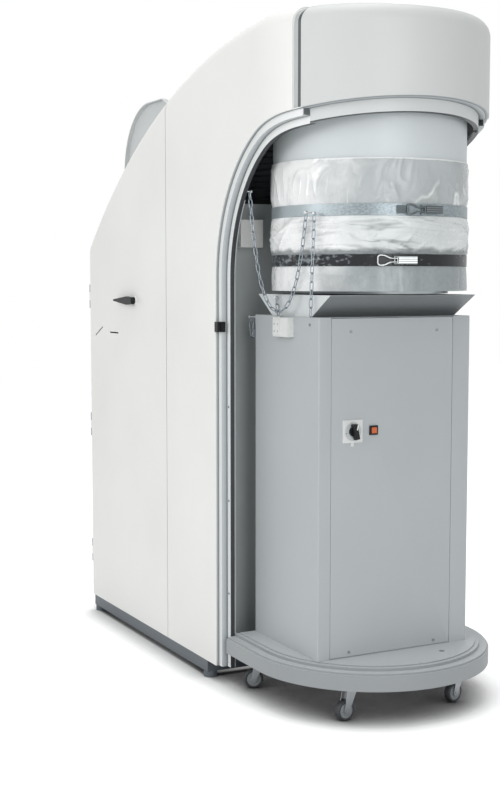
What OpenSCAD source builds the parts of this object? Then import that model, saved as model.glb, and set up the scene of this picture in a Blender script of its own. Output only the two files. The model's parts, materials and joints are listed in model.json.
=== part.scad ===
/* [Body] */
// Width of the body and of the round hood
body_w = 760; // [700:10:840]
// Height of the roof's crest above the floor
crest_z = 2075; // [2020:5:2160]
// Distance from the drum's axis back to the rear face
body_back = 1385; // [1320:5:1480]
// Radius of the curved roof, seen from the side
roof_r = 2340; // [2280:20:2640]
// Distance from the drum's axis forward to the roof's crest
crest_front = 195; // [165:5:260]
// Rounding of the roof's long edges and of the hood's rim
edge_r = 50; // [40:5:70]
// Thickness of the painted outer skins
skin_t = 3; // [2:0.5:4]
// Height of the skins' lower edge above the floor
plinth_z = 60; // [40:5:90]
// Distance from the drum's axis back to the joint between arm and rear body
split_y = 646; // [600:2:700]
// Width of the joint beside the side door
door_gap = 4; // [3.5:0.5:6]
// Opening angle of the side door's top strip, measured in from the side
door_strip = 62; // [60:1:80]

/* [Arch] */
// Radius of the arch that the bag stands under
arch_r = 484; // [470:2:500]
// Distance from the drum's axis forward to the arch's centre
arch_front = 221; // [210:1:235]
// Height of the arch's centre
arch_z = 1304; // [1290:2:1316]
// Rise of the arch's top towards the front, in degrees
arch_rise = 9; // [6:1:9]
// Depth of each inward step of the arch moulding
step_in = 20; // [16:1:22]
// Width of each face of the arch moulding
step_w = 21; // [18:1:24]
// Depth of the first step, from the skin to the outer rib
rib_in = 12; // [8:1:16]
// Thickness of the moulding's wall
trim_t = 2.5; // [2:0.5:3]

/* [Front cap] */
// Distance from the drum's axis forward to the arm's front edge
cap_front = 165; // [150:5:180]
// Width of the sunk joint between arm and cap
cap_joint = 26; // [20:1:30]
// Depth of that joint
cap_sink = 5; // [4:0.5:6]
// Height of the lip under the cap
lip_h = 36; // [30:1:40]

/* [Drum] */
// Sideways place of the drum and of the platform, right of the body's middle
drum_x = 22; // [0:2:26]
// Outer radius of the outlet drum
drum_r = 297; // [285:1:300]
// Wall of the drum
drum_t = 2; // [1.5:0.5:3]
// Height of the drum's lower edge
drum_z0 = 1290; // [1280:2:1300]
// Outer radius of the narrow spout below the drum
spout_r = 245; // [225:5:250]
// Clear height between the hopper's rim and the spout
spout_gap = 3; // [2:1:8]
// Height of the hood's floor, which carries the drum
floor_z = 1824; // [1816:2:1834]

/* [Film and bands] */
// Thickness of the bag film round the drum
film_t = 2; // [1.5:0.5:3]
// Height of the film's upper edge
film_top = 1652; // [1640:2:1664]
// Height of the film skirt's lower edge
skirt_z0 = 1268; // [1262:2:1274]
// Height of each clamping band
band_h = 34; // [30:1:38]
// Thickness of each clamping band
band_t = 1.5; // [1:0.5:2]
// Height of the upper band's middle
upper_z = 1504; // [1500:1:1510]
// Height of the lower band's middle
lower_z = 1358; // [1354:1:1364]
// How far the gathered film bulges between the bands
gather_out = 9; // [6:1:12]
// Number of folds in the gathered film
gather_folds = 44; // [30:2:60]

/* [Cabinet] */
// Width of the cabinet
cab_w = 536; // [500:4:560]
// Distance from the drum's axis forward to the cabinet's front
cab_front = 195; // [185:5:205]
// Distance from the drum's axis back to the cabinet's rear
cab_rear = 205; // [200:5:215]
// Height of the cabinet's top
cab_top = 1192; // [1180:2:1200]
// Thickness of the cabinet's sheet
cab_t = 2; // [1.5:0.5:2.5]
// Left edge of the front panel
panel_l = 225; // [215:1:235]
// Right edge of the front panel
panel_r = 203; // [195:1:215]
// Gap round the front panel
panel_gap = 1.5; // [1:0.5:2]
// Side of the square switch plate
switch_s = 68; // [60:1:72]
// Sideways place of the switch, left of the middle
switch_x = 153; // [145:1:160]
// Height of the switch and of the lamp button
switch_z = 856; // [800:2:900]
// Sideways place of the lamp button, left of the middle
lamp_x = 80; // [72:1:84]
// Side of the lamp button's bezel
lamp_s = 28; // [26:1:32]
// Travel of the lamp button
lamp_travel = 3; // [2:0.5:4]

/* [Hopper] */
// Half width of the hopper, to its cheeks' outer faces
hop_x = 255; // [248:1:260]
// Height of the hopper's rim
hop_top = 1257; // [1245:1:1262]
// Front edge of the hopper's neck, in front of the drum's axis
neck_front = 130; // [120:2:140]
// Rear edge of the hopper's neck
neck_rear = 116; // [110:2:124]
// Front edge of the hopper's rim
rim_front = 236; // [226:2:244]
// Rear edge of the hopper's rim
rim_rear = 206; // [200:2:216]

/* [Platform] */
// Radius of the platform's round front
base_r = 385; // [375:1:395]
// Distance from the drum's axis back to the platform's straight end
base_back = 250; // [240:2:252]
// Height of the platform's underside
base_z0 = 109; // [105:1:115]
// Height of the platform's rim
rim_z = 162; // [158:1:166]
// Height of the platform's raised top
top_z = 175; // [170:1:180]

/* [Casters] */
// Radius of the caster wheels
wheel_r = 31; // [28:1:33]
// Width of the caster wheels
wheel_w = 22; // [18:1:26]
// Trail of the caster wheels behind their swivel
trail = 24; // [18:1:28]
// Sideways place of the front casters
front_cx = 195; // [180:5:210]
// Place of the front casters, in front of the drum's axis
front_cy = 230; // [220:5:240]
// Sideways place of the rear casters
rear_cx = 290; // [280:5:300]
// Place of the rear casters, behind the drum's axis
rear_cy = 165; // [155:5:175]

/* [Chains] */
// Wire diameter of the chain links
link_d = 3.2; // [2.6:0.2:3.6]
// Pitch of the chain links
link_p = 25; // [23:0.5:28]
// Inner width of a link
link_w = 7; // [6.5:0.5:8]

/* [Mill] */
// Radius of the cutting rotor
rotor_r = 140; // [120:5:150]
// Length of the cutting rotor
rotor_l = 380; // [340:10:400]
// Place of the rotor, behind the drum's axis
rotor_y = 1060; // [1040:10:1080]
// Height of the rotor's shaft
rotor_z = 560; // [540:10:580]
// Number of knife discs on the rotor
knives = 9; // [7:1:11]
// Radius of the blower wheel
fan_r = 170; // [150:5:180]
// Width of the blower wheel
fan_w = 90; // [70:5:100]
// Place of the blower, behind the drum's axis
fan_y = 560; // [550:5:570]
// Height of the blower's shaft
fan_z = 560; // [540:10:580]
// Radius of the drive pulley
drive_pr = 60; // [50:2:66]
// Radius of the rotor's pulley
rotor_pr = 100; // [90:2:110]
// Radius of the corrugated riser
riser_r = 172; // [160:2:176]
// Pitch of the riser's corrugation
riser_p = 20; // [18:1:24]

/* [Cutters] */
// Radius of the cabinet's cutter discs
cutter_r = 52; // [48:1:54]
// Distance between the two cutter shafts
cutter_gap = 92; // [90:1:96]
// Height of the cutter shafts
cutter_z = 1080; // [1070:5:1090]
// Number of discs on each cutter shaft
cutter_n = 10; // [8:1:12]

/* [Hidden] */
$fn = 64;

half_w = body_w / 2;
fit = 0.3;                 // gap between parts that move past each other
run = 0.05;                // radial gap of a shaft in its bore
eps = 1;                   // how far a cut reaches past a face
mid_y = (body_back - base_r) / 2;
far = 3000;                // longer than any part, for cutting boxes

// Derived sizes of the body
roof_y = -crest_front;
roof_z = crest_z - roof_r;
arch_y = -arch_front;
arch_edge = arch_y + arch_r;              // where the side panel's front edge stands
trim_in = rib_in + step_in + 15;          // from the skin to the moulding's inner edge
inside_x = half_w - skin_t;
wall_y = 330;                             // front wall inside the arch
wall_top = 1545;
cap_y = -cap_front - cap_joint;
strip_x = half_w - door_strip;
hinge_r = 5.5;
hinge_x = -half_w + hinge_r + fit;
hinge_y = body_back + hinge_r + fit;
hinge_pin = 2.5;
hinge_zs = [220, 720, 1220];
knuckle = 30;

// Derived sizes of the frame and of what stands on it
rail = 40;
bench_z = fan_z - fan_r - 20;
post_top = 1330;
frame_back = body_back - skin_t - 12;
beam_ys = [470, 620, rotor_y - 160, rotor_y + 120];
mill_w = rotor_l / 2 + 25;
mill_top = rotor_z + 200;
mill_y0 = rotor_y - rotor_r - 20;
mill_y1 = rotor_y + rotor_r + 20;
shaft_r = 20;
drive_r = 15;
belt_x = 262;
belt_w = 26;
belt_t = 8;
blow_r = fan_r + 20;
blow_w = fan_w + 40;
riser_z0 = 830;
motor_r = 90;
motor_x0 = 40 - half_w;                    // the motor's two ends
motor_x1 = -120;

// Derived sizes of the feed hopper
feed_x = 250;
feed_top = 1948;
feed_y0 = fan_y + riser_r + 30;
feed_y1 = feed_y0 + 178;                  // where the cheeks' level top begins
feed_z0 = 1864;                           // height of the front plate, just under the roof
feed_back = body_back - 85;
feed_corner = 240;
feed_rim = 16;                            // how far the cheeks' flanges stand out
feed_lip = 1525;                          // height of the back plate, just under the roof
flap_y = 1000;
flap_z = 1300;
flap_l = 240;
flap_pin = 6;

// Derived sizes of the drum, the film and the bands
spout_floor = drum_z0 + drum_t;
film_in = drum_r + fit;
film_out = film_in + film_t;
band_in = film_out + fit;
band_out = band_in + band_t;
upper_turn = 2;                           // turn of each latch round the drum, from the front
lower_turn = 18;

// Derived sizes of the toggle latches, measured from the band's outer face
ear_z = 11.5;
ear_t = 3;
pivot_y = 4.5;
pivot_r = 1.6;
bail_x = 8;
bail_y = 8.5;
bail_r = 1.4;
bail_l = 50;
bail_neck = 6.4;
bail_wide = ear_z + ear_t + bail_r;
cheek_z = 8;
lever_l = 66;
tab_turn = 12.6;                          // turn from the latch to the ribbed end of the band

// Derived sizes of the cabinet
cab_x = cab_w / 2;
panel_z0 = top_z + 3;
panel_z1 = cab_top - 3;
screw_xs = [-160, 145];
screw_zs = [top_z + 16, cab_top - 42];
spindle_r = 4;
knob_r = 15;
button_s = lamp_s - 8;
disc_p = 26;
disc_t = 10;
cutter_shaft_r = 16;
frame_x = 150;
gear_w = 88;                              // the gearbox and the motor under it
gear_h = 260;
gear_motor_r = 55;

// Caster places: sideways, front to back, and the turn of each fork
casters = [
  [drum_x - front_cx, -front_cy, 186],
  [drum_x + front_cx, -front_cy, 192],
  [drum_x - rear_cx, rear_cy, 160],
  [drum_x + rear_cx, rear_cy, 20]
];
caster_plate_t = 3;
fork_top = base_z0 - caster_plate_t - fit;
fork_t = 2.5;
fork_gap = 0.8;
axle_r = 4;
king_r = 6;

// Derived sizes of the chains and the places of the studs that they hang on
stud_r = 1.5;
stud_out = 322;                           // how far out the band's studs hold their chains
stud_back = 354;                          // how far the trim's stud is behind the arch's centre
stud_rise = sqrt(pow(arch_r - 2 * step_w + 1, 2) - pow(stud_back, 2));
trim_stud = [-inside_x + trim_in - skin_t + 8, arch_y + stud_back, arch_z + stud_rise];
band_stud = [drum_x - stud_out * sin(66.5), -stud_out * cos(66.5), upper_z - 7];
tag_stud = [drum_x - stud_out * sin(61.5), -stud_out * cos(61.5), upper_z - 10];
rim_stud = [-hop_x - 8, 72, hop_top - 9];
plug_stud = [-cab_x - 11, 28, cab_top];
corner_stud = [-cab_x + 4, cab_rear, cab_top - 8];

// ---------- helpers ----------

// Moves a shape from the drum's axis to the part's own origin
module at_origin() translate([0, -mid_y, 0]) children();

// The same for what stands round the drum's axis
module at_drum() translate([drum_x, -mid_y, 0]) children();

// Extrudes a side outline, drawn as depth and height, across the width
module across(w) rotate([90, 0, 90]) linear_extrude(w, center = true) children();

// Extrudes a side outline from one sideways place to another
module across_from(x0, x1) translate([(x0 + x1) / 2, 0, 0]) across(abs(x1 - x0)) children();

// A box between two corners
module block(a, b) translate(a) cube(b - a);

// A cylinder along the width
module x_rod(r, x0, x1, y, z) translate([min(x0, x1), y, z]) rotate([0, 90, 0])
  cylinder(r = r, h = abs(x1 - x0));

// A round rod between two points
module rod(a, b, r) {
  d = b - a;
  translate(a) rotate([0, acos(d[2] / norm(d)), atan2(d[1], d[0])]) cylinder(r = r, h = norm(d));
}

// A square whose outer corners on one side are round
module round_bar(len, half, r) {
  translate([0, -half]) square([len - r, 2 * half]);
  translate([0, -half + r]) square([len, 2 * (half - r)]);
  for (s = [-1, 1]) translate([len - r, s * (half - r)]) circle(r);
}

// ---------- body shape ----------

// The space under the curved roof, inset by d
module roof_space(d) {
  translate([0, roof_y, roof_z]) rotate([0, 90, 0]) rotate_extrude($fn = 256)
    intersection() {
      round_bar(roof_r - d, half_w - d, edge_r - d);
      translate([0, -half_w]) square([roof_r, body_w]);
    }
}

// The footprint of the body, round at the front, inset by d
module plan_space(d) {
  rotate_extrude($fn = 192) intersection() {
    round_bar_up(crest_z + 1 - d, half_w - d, edge_r - d);
    square([half_w, crest_z + 1]);
  }
  block([-half_w + d, 0, 0], [half_w - d, body_back - d, crest_z + 20]);
}

// A tall half outline with a round outer corner at its top
module round_bar_up(h, w, r) {
  square([w - r, h]);
  square([w, h - r]);
  translate([w - r, h - r]) circle(r);
}

module body_space(d) intersection() {
  roof_space(d);
  plan_space(d);
}

module skin(d) difference() {
  body_space(d);
  body_space(d + skin_t);
}

// The side outline of the arch, inset by s
module arch_outline(s) {
  translate([arch_y, arch_z]) circle(arch_r - s, $fn = 192);
  translate([-far, -far]) square([far + arch_edge - s, far + arch_z]);
  translate([arch_y, arch_z]) rotate(-arch_rise) translate([-far, -arch_r]) square([far, 2 * arch_r - s]);
}

module arch_space(s) across(body_w + 40) arch_outline(s);

module upright(d) {
  translate([0, 0, plinth_z]) {
    cylinder(r = half_w - d, h = crest_z - plinth_z, $fn = 192);
    translate([-half_w + d, 0, 0]) cube([body_w - 2 * d, wall_y, crest_z - plinth_z]);
  }
}

// One strip of the arch moulding: from inset d0 to d1, and from arch inset s0 to s1
module strip(d0, d1, s0, s1) intersection() {
  difference() {
    upright(d0);
    upright(d1);
  }
  across(body_w + 40) difference() {
    arch_outline(s0);
    arch_outline(s1);
  }
}

module moulding() {
  deep = rib_in + step_in;
  strip(skin_t, rib_in + trim_t, -trim_t, 0);
  strip(rib_in, rib_in + trim_t, -trim_t, step_w);
  strip(rib_in, deep + trim_t, step_w - trim_t, step_w);
  strip(deep, deep + trim_t, step_w - trim_t, 2 * step_w);
  strip(deep, trim_in, 2 * step_w - trim_t, 2 * step_w);
}

module moulding_part(a, b) intersection() {
  moulding();
  block(a, b);
}

// The lip under the front cap: a shelf that runs in from the skin, and a face that hangs from it
module cap_lip() {
  deep = rib_in + step_in;
  strip(skin_t, deep + trim_t, -trim_t, 0);
  strip(deep, deep + trim_t, -trim_t, lip_h);
  strip(deep, trim_in, lip_h - trim_t, lip_h);
}

// ---------- main body ----------

module body_frame() color("dimgray") at_origin() {
  for (s = [-1, 1]) {
    x0 = s < 0 ? -inside_x : inside_x - rail;
    block([x0, wall_y + 3, 20], [x0 + rail, frame_back, 80]);
    block([x0, wall_y + 3, bench_z - rail], [x0 + rail, frame_back, bench_z]);
    for (y = [wall_y + 3, frame_back - rail]) {
      block([x0, y, 20], [x0 + rail, y + rail, post_top]);
      translate([x0 + rail / 2, y + rail / 2, 0]) cylinder(r = 22, h = 21);
    }
  }
  for (y = [wall_y + 3, frame_back - rail])
    block([-inside_x + 1, y, 20], [inside_x - 1, y + rail, 80]);
  for (y = beam_ys)
    block([-inside_x + 1, y, bench_z - rail], [inside_x - 1, y + rail, bench_z]);
}

module arm_shell() color("whitesmoke") at_origin() difference() {
  union() {
    intersection() {
      skin(0);
      block([-far, -cap_front, plinth_z], [far, split_y, far]);
    }
    difference() {
      union() {
        intersection() {
          skin(cap_sink);
          block([-far, cap_y - 12, plinth_z], [far, -cap_front + 12, far]);
        }
        intersection() {
          difference() {
            body_space(1);
            body_space(cap_sink + 1);
          }
          block([-far, -cap_front, plinth_z], [far, -cap_front + skin_t, far]);
        }
      }
      arch_space(-trim_t - fit);
    }
  }
  arch_space(0);
}

module front_cap() color("lightgray") at_origin() difference() {
  intersection() {
    skin(0);
    block([-far, -far, plinth_z], [far, cap_y, far]);
  }
  arch_space(0);
}

module rear_shell() color("whitesmoke") at_origin() difference() {
  intersection() {
    skin(0);
    block([-far, split_y, plinth_z], [far, body_back, far]);
  }
  block([-far, split_y - eps, 0], [-strip_x + 2, body_back - skin_t, far]);
  block([-far, split_y - eps, 0], [-inside_x + 1, far, far]);
  block([-feed_x - fit, feed_y0 - fit, post_top], [feed_x + fit, feed_back + fit, far]);
}

module left_door() color("whitesmoke") at_origin() {
  difference() {
    intersection() {
      skin(0);
      block([-far, split_y + door_gap, plinth_z], [-strip_x, body_back - skin_t - 1, far]);
    }
    for (v = [[1290, 1103, 24], [1134, 1103, 0]])
      translate([-half_w, v[0], v[1]]) rotate([-v[2], 0, 0]) cube([20, 86, 5], center = true);
  }
  for (z = hinge_zs) {
    block([-half_w, body_back - skin_t - 2, z], [-inside_x, hinge_y, z + knuckle]);
    translate([hinge_x, hinge_y, z]) difference() {
      cylinder(r = hinge_r, h = knuckle);
      translate([0, 0, -eps]) cylinder(r = hinge_pin + run, h = knuckle + 2 * eps);
    }
  }
  x_rod(16, -half_w - skin_t, -half_w, 930, 1225);
}

module door_hinges() color("gray") at_origin() for (z = hinge_zs) {
  translate([hinge_x, hinge_y, z - knuckle]) cylinder(r = hinge_pin, h = 3 * knuckle);
  for (k = [-1, 1]) translate([hinge_x, hinge_y, z + k * (knuckle + fit)]) {
    cylinder(r = hinge_r, h = knuckle);
    block([0, -hinge_r - fit, 0], [46, -hinge_r + 2, knuckle]);
  }
}

module door_lever() color("black") at_origin() {
  x_rod(13, -half_w - 20, -half_w - skin_t - fit, 930, 1225);
  across_from(-half_w - 22, -half_w - 12)
    polygon([[914, 1213], [914, 1237], [960, 1240], [1085, 1228], [1085, 1222], [960, 1210]]);
}

module left_trim() color("gainsboro") at_origin()
  moulding_part([-far, cap_y + 6, 0], [0, wall_y, far]);

module right_trim() color("gainsboro") at_origin()
  moulding_part([0, cap_y + 6, 0], [far, wall_y, far]);

module front_lip() color("gainsboro") at_origin() intersection() {
  cap_lip();
  block([-far, -far, 0], [far, cap_y + 6, far]);
}

module trim_blocks() color("black") at_origin() for (s = [-1, 1]) {
  x0 = half_w - rib_in;
  z0 = 1137;
  h = 32;
  mirror([s > 0 ? 1 : 0, 0, 0]) {
    block([-half_w - skin_t, arch_edge - step_w - 1, z0], [-x0, arch_edge - fit, z0 + h]);
    block([-x0 - 4, arch_edge - step_w - 7, z0], [-x0 + step_in / 2, arch_edge - step_w, z0 + h]);
  }
}

module front_wall() color("slategray") at_origin() {
  x0 = half_w - trim_in;
  block([-x0, wall_y, plinth_z], [x0, wall_y + skin_t, wall_top]);
  for (s = [-1, 1]) across_from(s * x0, s * (x0 - trim_t)) difference() {
    translate([0, plinth_z]) square([wall_y + 1, wall_top - plinth_z]);
    arch_outline(2 * step_w);
  }
}

module hood_floor() color("slategray") at_origin() intersection() {
  union() {
    body_space(cap_sink + skin_t + fit);
    difference() {
      body_space(skin_t);
      block([-far, cap_y - 12 - fit, 0], [far, -cap_front + 12 + fit, far]);
    }
  }
  difference() {
    union() {
      block([-far, -far, floor_z], [far, fan_y + riser_r + 12, floor_z + skin_t]);
      block([-far, fan_y + riser_r + 10, floor_z], [far, fan_y + riser_r + 13, far]);
    }
    translate([drum_x, 0, 0]) cylinder(r = drum_r + 1, h = far);
    translate([0, fan_y, 0]) cylinder(r = riser_r - 18, h = floor_z + 10);
  }
}

module junction_box() color("silver") at_origin() difference() {
  block([-276, wall_y - 42, 1404], [-197, wall_y, 1492]);
  translate([-236, wall_y - 36, 1450]) rotate([90, 0, 0]) cylinder(r = 4, h = 20);
}

// The outline of a corrugated tube's wall, from z0 to z1
function ribs(r, z0, n, p, deep) = [
  for (k = [0:n - 1]) each [[r - deep, z0 + k * p], [r, z0 + (k + 0.3) * p], [r, z0 + (k + 0.7) * p]]
];

module riser_duct() color("darkgray") at_origin() translate([0, fan_y, 0]) rotate_extrude() {
  n = floor((floor_z - riser_z0) / riser_p);
  polygon(concat(
    [[riser_r - 14, floor_z], [riser_r - 14, riser_z0]],
    ribs(riser_r, riser_z0, n, riser_p, 7),
    [[riser_r - 7, riser_z0 + n * riser_p], [riser_r - 7, floor_z]]
  ));
}

// ---------- feed and mill ----------

module cheek_outline(d) {
  r = feed_corner - d;
  translate([feed_back - feed_corner, feed_top - feed_corner]) intersection() {
    circle(r);
    square(r);
  }
  polygon([
    [feed_y0, feed_lip], [feed_back - d, feed_lip], [feed_back - d, feed_top - feed_corner],
    [feed_back - feed_corner, feed_top - feed_corner], [feed_back - feed_corner, feed_top - d],
    [feed_y1 + d / 2, feed_top - d], [feed_y0, feed_z0 - 1.2 * d]
  ]);
}

module feed_hopper() color("darkgray") at_origin() {
  front = [[feed_y0, feed_z0], [feed_y0, 1500], [mill_y0 + 20, mill_top]];
  back = [[feed_back, feed_lip], [mill_y1 - 20, mill_top]];
  difference() {
    union() {
      for (s = [-1, 1]) {
        across_from(s * feed_x, s * (feed_x - 3)) {
          cheek_outline(0);
          polygon([each front, back[1], back[0]]);
        }
        difference() {
          across_from(s * (feed_x - 1), s * (feed_x + feed_rim)) difference() {
            cheek_outline(0);
            cheek_outline(3);
          }
          body_space(-fit);
        }
      }
      across(2 * feed_x - 2) {
        polygon([
          front[0], front[1], front[2], front[2] + [3, 0], front[1] + [3, 0], front[0] + [3, 0]
        ]);
        polygon([back[0], back[1], back[1] - [3, 0], back[0] - [3, 0]]);
      }
    }
    x_rod(flap_pin + run, -far, far, flap_y, flap_z);
  }
}

module feed_flap() color("black") at_origin() {
  x_rod(flap_pin, -feed_x, feed_x, flap_y, flap_z);
  block([-feed_x + 10, flap_y - 3, flap_z - flap_l], [feed_x - 10, flap_y + 3, flap_z]);
}

module mill_housing() color("steelblue") at_origin() difference() {
  union() {
    block([-mill_w, mill_y0, bench_z], [mill_w, mill_y1, mill_top - 6]);
    block([-feed_x - 6, mill_y0, mill_top - 6], [feed_x + 6, mill_y1, mill_top]);
    block([-60, fan_y + 100, bench_z + 40], [60, mill_y0 + 1, bench_z + 140]);
    for (s = [-1, 1]) x_rod(45, s * mill_w, s * (mill_w + 14), rotor_y, rotor_z);
  }
  x_rod(rotor_r + 8, -mill_w + 12, mill_w - 12, rotor_y, rotor_z);
  block([-mill_w + 12, mill_y0 + 24, rotor_z], [mill_w - 12, mill_y1 - 24, mill_top + eps]);
  block([-54, 0, bench_z + 46], [54, rotor_y, bench_z + 134]);
  x_rod(shaft_r + run, -far, far, rotor_y, rotor_z);
  translate([0, fan_y, 0]) x_rod(blow_r, -far, far, 0, fan_z);
}

module rotor() color("silver") at_origin() {
  pitch = rotor_l / knives;
  x_rod(shaft_r, -mill_w - 14, belt_x + belt_w + 8, rotor_y, rotor_z);
  x_rod(rotor_r * 0.6, -rotor_l / 2, rotor_l / 2, rotor_y, rotor_z);
  for (k = [0:knives - 1]) translate([-rotor_l / 2 + (k + 0.5) * pitch, rotor_y, rotor_z])
    rotate([k * 20, 0, 0]) rotate([0, 90, 0]) cylinder(r = rotor_r, h = 14, center = true, $fn = 6);
}

module pulley(r, y, z, bore) difference() {
  x_rod(r, belt_x - 3, belt_x + belt_w + 3, y, z);
  x_rod(bore, belt_x - 10, belt_x + belt_w + 10, y, z);
}

module rotor_pulley() color("dimgray") at_origin()
  pulley(rotor_pr, rotor_y, rotor_z, shaft_r);

module blower_housing() color("steelblue") at_origin() difference() {
  union() {
    x_rod(blow_r, -blow_w / 2, blow_w / 2, fan_y, fan_z);
    block([-blow_w / 2, fan_y - 100, bench_z], [blow_w / 2, fan_y + 100, fan_z]);
    block([-blow_w / 2, fan_y - 90, fan_z], [blow_w / 2, fan_y + 90, riser_z0 - 3]);
    translate([0, fan_y, riser_z0 - 6]) cylinder(r = riser_r + 8, h = 6);
  }
  x_rod(blow_r - 8, -blow_w / 2 + 8, blow_w / 2 - 8, fan_y, fan_z);
  block([-blow_w / 2 + 8, fan_y - 82, fan_z], [blow_w / 2 - 8, fan_y + 82, riser_z0 + eps]);
  x_rod(drive_r + 6, -far, far, fan_y, fan_z);
  block([-54, fan_y, bench_z + 46], [54, fan_y + blow_r + 20, bench_z + 134]);
}

module blower_wheel() color("silver") at_origin() difference() {
  union() {
    x_rod(34, -fan_w / 2, fan_w / 2, fan_y, fan_z);
    x_rod(fan_r, -fan_w / 2, -fan_w / 2 + 4, fan_y, fan_z);
    for (a = [0:45:315]) translate([0, fan_y, fan_z]) rotate([a, 0, 0])
      block([-fan_w / 2, 30, -2], [fan_w / 2, fan_r - 2, 2]);
  }
  x_rod(drive_r, -far, far, fan_y, fan_z);
}

module drive_shaft() color("gray") at_origin() {
  x_rod(drive_r, -148, belt_x + belt_w + 8, fan_y, fan_z);
  pulley(drive_pr, fan_y, fan_z, 2);
}

module mill_motor() color("royalblue") at_origin() difference() {
  union() {
    x_rod(motor_r, motor_x0, motor_x1, fan_y, fan_z);
    x_rod(motor_r + 8, motor_x1 - 12, motor_x1, fan_y, fan_z);
    block([motor_x0 + 20, fan_y - 80, bench_z], [motor_x1 - 20, fan_y + 80, bench_z + 12]);
    block([motor_x0 + 20, fan_y - 50, bench_z], [motor_x1 - 20, fan_y + 50, fan_z]);
    for (a = [0:15:165]) translate([(motor_x0 + motor_x1) / 2, fan_y, fan_z]) rotate([a, 0, 0])
      cube([motor_x1 - motor_x0 - 70, 2 * motor_r + 14, 4], center = true);
  }
  x_rod(drive_r + run, motor_x1 - 30, motor_x1 + 20, fan_y, fan_z);
}

// The outline round both pulleys, at a distance e from their rims
module belt_outline(e) hull() {
  translate([fan_y, fan_z]) circle(drive_pr + e);
  translate([rotor_y, rotor_z]) circle(rotor_pr + e);
}

module drive_belt() color("black") at_origin() across_from(belt_x, belt_x + belt_w) difference() {
  belt_outline(fit + belt_t);
  belt_outline(fit);
}

// ---------- drum, film and bands ----------

module tube(r, t, z0, z1) translate([0, 0, z0]) difference() {
  cylinder(r = r, h = z1 - z0);
  translate([0, 0, -eps]) cylinder(r = r - t, h = z1 - z0 + 2 * eps);
}

module drum() color("lightsteelblue") at_drum() {
  tube(drum_r, drum_t, drum_z0, floor_z + 50);
  tube(drum_r + 26, 28, floor_z + skin_t, floor_z + skin_t + 4);
  tube(drum_r, drum_r - spout_r + drum_t, drum_z0, spout_floor);
  tube(spout_r, drum_t, hop_top + spout_gap, spout_floor);
}

// How far the film stands out at a turn a and at a share v of its height
function wrinkle(a, v, n, deep) = deep * sin(180 * v)
  * (0.55 + 0.25 * sin(n * a + 300 * v) + 0.2 * sin(0.5 * n * a - 500 * v + 40));

// A film sleeve: a closed skin whose outer side is folded
module sleeve(z0, z1, lo, hi, n, deep, rows, cols = 88) {
  step = 360 / cols;
  r_in = film_in / cos(step / 2);
  outer = [for (j = [0:rows], i = [0:cols - 1])
    let (v = j / rows, a = i * step, w = min(1, max(0, (v - lo) / (hi - lo))),
      r = film_out + (v < lo || v > hi ? 0 : wrinkle(a, w, n, deep)))
    [r * cos(a), r * sin(a), z0 + v * (z1 - z0)]];
  inner = [for (z = [z0, z1], i = [0:cols - 1]) [r_in * cos(i * step), r_in * sin(i * step), z]];
  m = len(outer);
  top = rows * cols;
  polyhedron(concat(outer, inner), [
    for (j = [0:rows - 1], i = [0:cols - 1]) let (k = (i + 1) % cols, p = j * cols) each [
      [p + i, p + cols + i, p + cols + k], [p + i, p + cols + k, p + k]],
    for (i = [0:cols - 1]) let (k = (i + 1) % cols) each [
      [m + i, m + k, m + cols + k, m + cols + i],
      [i, k, m + k, m + i],
      [top + i, m + cols + i, m + cols + k, top + k]]
  ]);
}

module film_collar() color("white", 0.5) at_drum() {
  low = upper_z - band_h / 2;
  sleeve(low, film_top, (band_h + 4) / (film_top - low), 1, 18, 5, 8);
}

module film_gather() color("white") at_drum()
  sleeve(lower_z + band_h / 2 + fit, upper_z - band_h / 2 - fit, 0, 1, gather_folds, gather_out, 12, 132);

module film_skirt() color("lightgray") at_drum() {
  high = lower_z + band_h / 2;
  sleeve(skirt_z0, high, 0, (lower_z - band_h / 2 - skirt_z0 - 4) / (high - skirt_z0), 14, 4, 6);
}

// Turns a shape drawn at the front round the drum, to stand on the band
module on_band(z, turn) rotate([0, 0, -turn]) translate([0, -band_out, z]) children();

module clamp_band(z, turn) {
  tube(band_out, band_t, z - band_h / 2, z + band_h / 2);
  on_band(z, turn + tab_turn) {
    block([-13, -1.4, -12], [13, 0.6, 12]);
    for (x = [-10:4:10]) block([x - 1, -2.2, -9], [x + 1, -1, 9]);
  }
  on_band(z, turn) {
    block([-6, -1.2, -ear_z - ear_t], [12, 0.6, ear_z + ear_t]);
    for (s = [-1, 1]) difference() {
      block([-4, -pivot_y - 2.6, s < 0 ? -ear_z - ear_t : ear_z], [4, 0, s < 0 ? -ear_z : ear_z + ear_t]);
      translate([0, -pivot_y, -far / 2]) cylinder(r = pivot_r + run, h = far);
    }
    block([-bail_l + bail_r + fit, -bail_y - 3, -7], [-bail_l + bail_r + 4, 0, 7]);
    block([-bail_l + bail_r + fit, -1.6, -12], [-20, 1.4, 12]);
  }
}

module lever() {
  for (s = [-1, 1]) translate([0, 0, s < 0 ? -ear_z + fit : cheek_z]) difference() {
    linear_extrude(ear_z - fit - cheek_z) {
      translate([0, -pivot_y]) circle(3);
      translate([bail_x, -bail_y]) circle(3.2);
      polygon([
        [-2.9, -pivot_y - 1], [2, -pivot_y + 2.2], [bail_x + 3, -bail_y + 1.4],
        [bail_x + 4, -bail_y - 3], [bail_x - 1, -bail_y - 3]
      ]);
    }
    translate([bail_x, -bail_y, -eps]) cylinder(r = bail_r + run, h = 10);
  }
  translate([0, -pivot_y, -ear_z - ear_t]) cylinder(r = pivot_r, h = 2 * (ear_z + ear_t));
  block([bail_x + 2.5, -bail_y - 3, -ear_z + fit], [lever_l, -bail_y + 0.4, ear_z - fit]);
  for (z = [-6, 0, 6]) block([bail_x + 14, -bail_y - 4, z - 1], [lever_l - 3, -bail_y, z + 1]);
}

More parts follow.
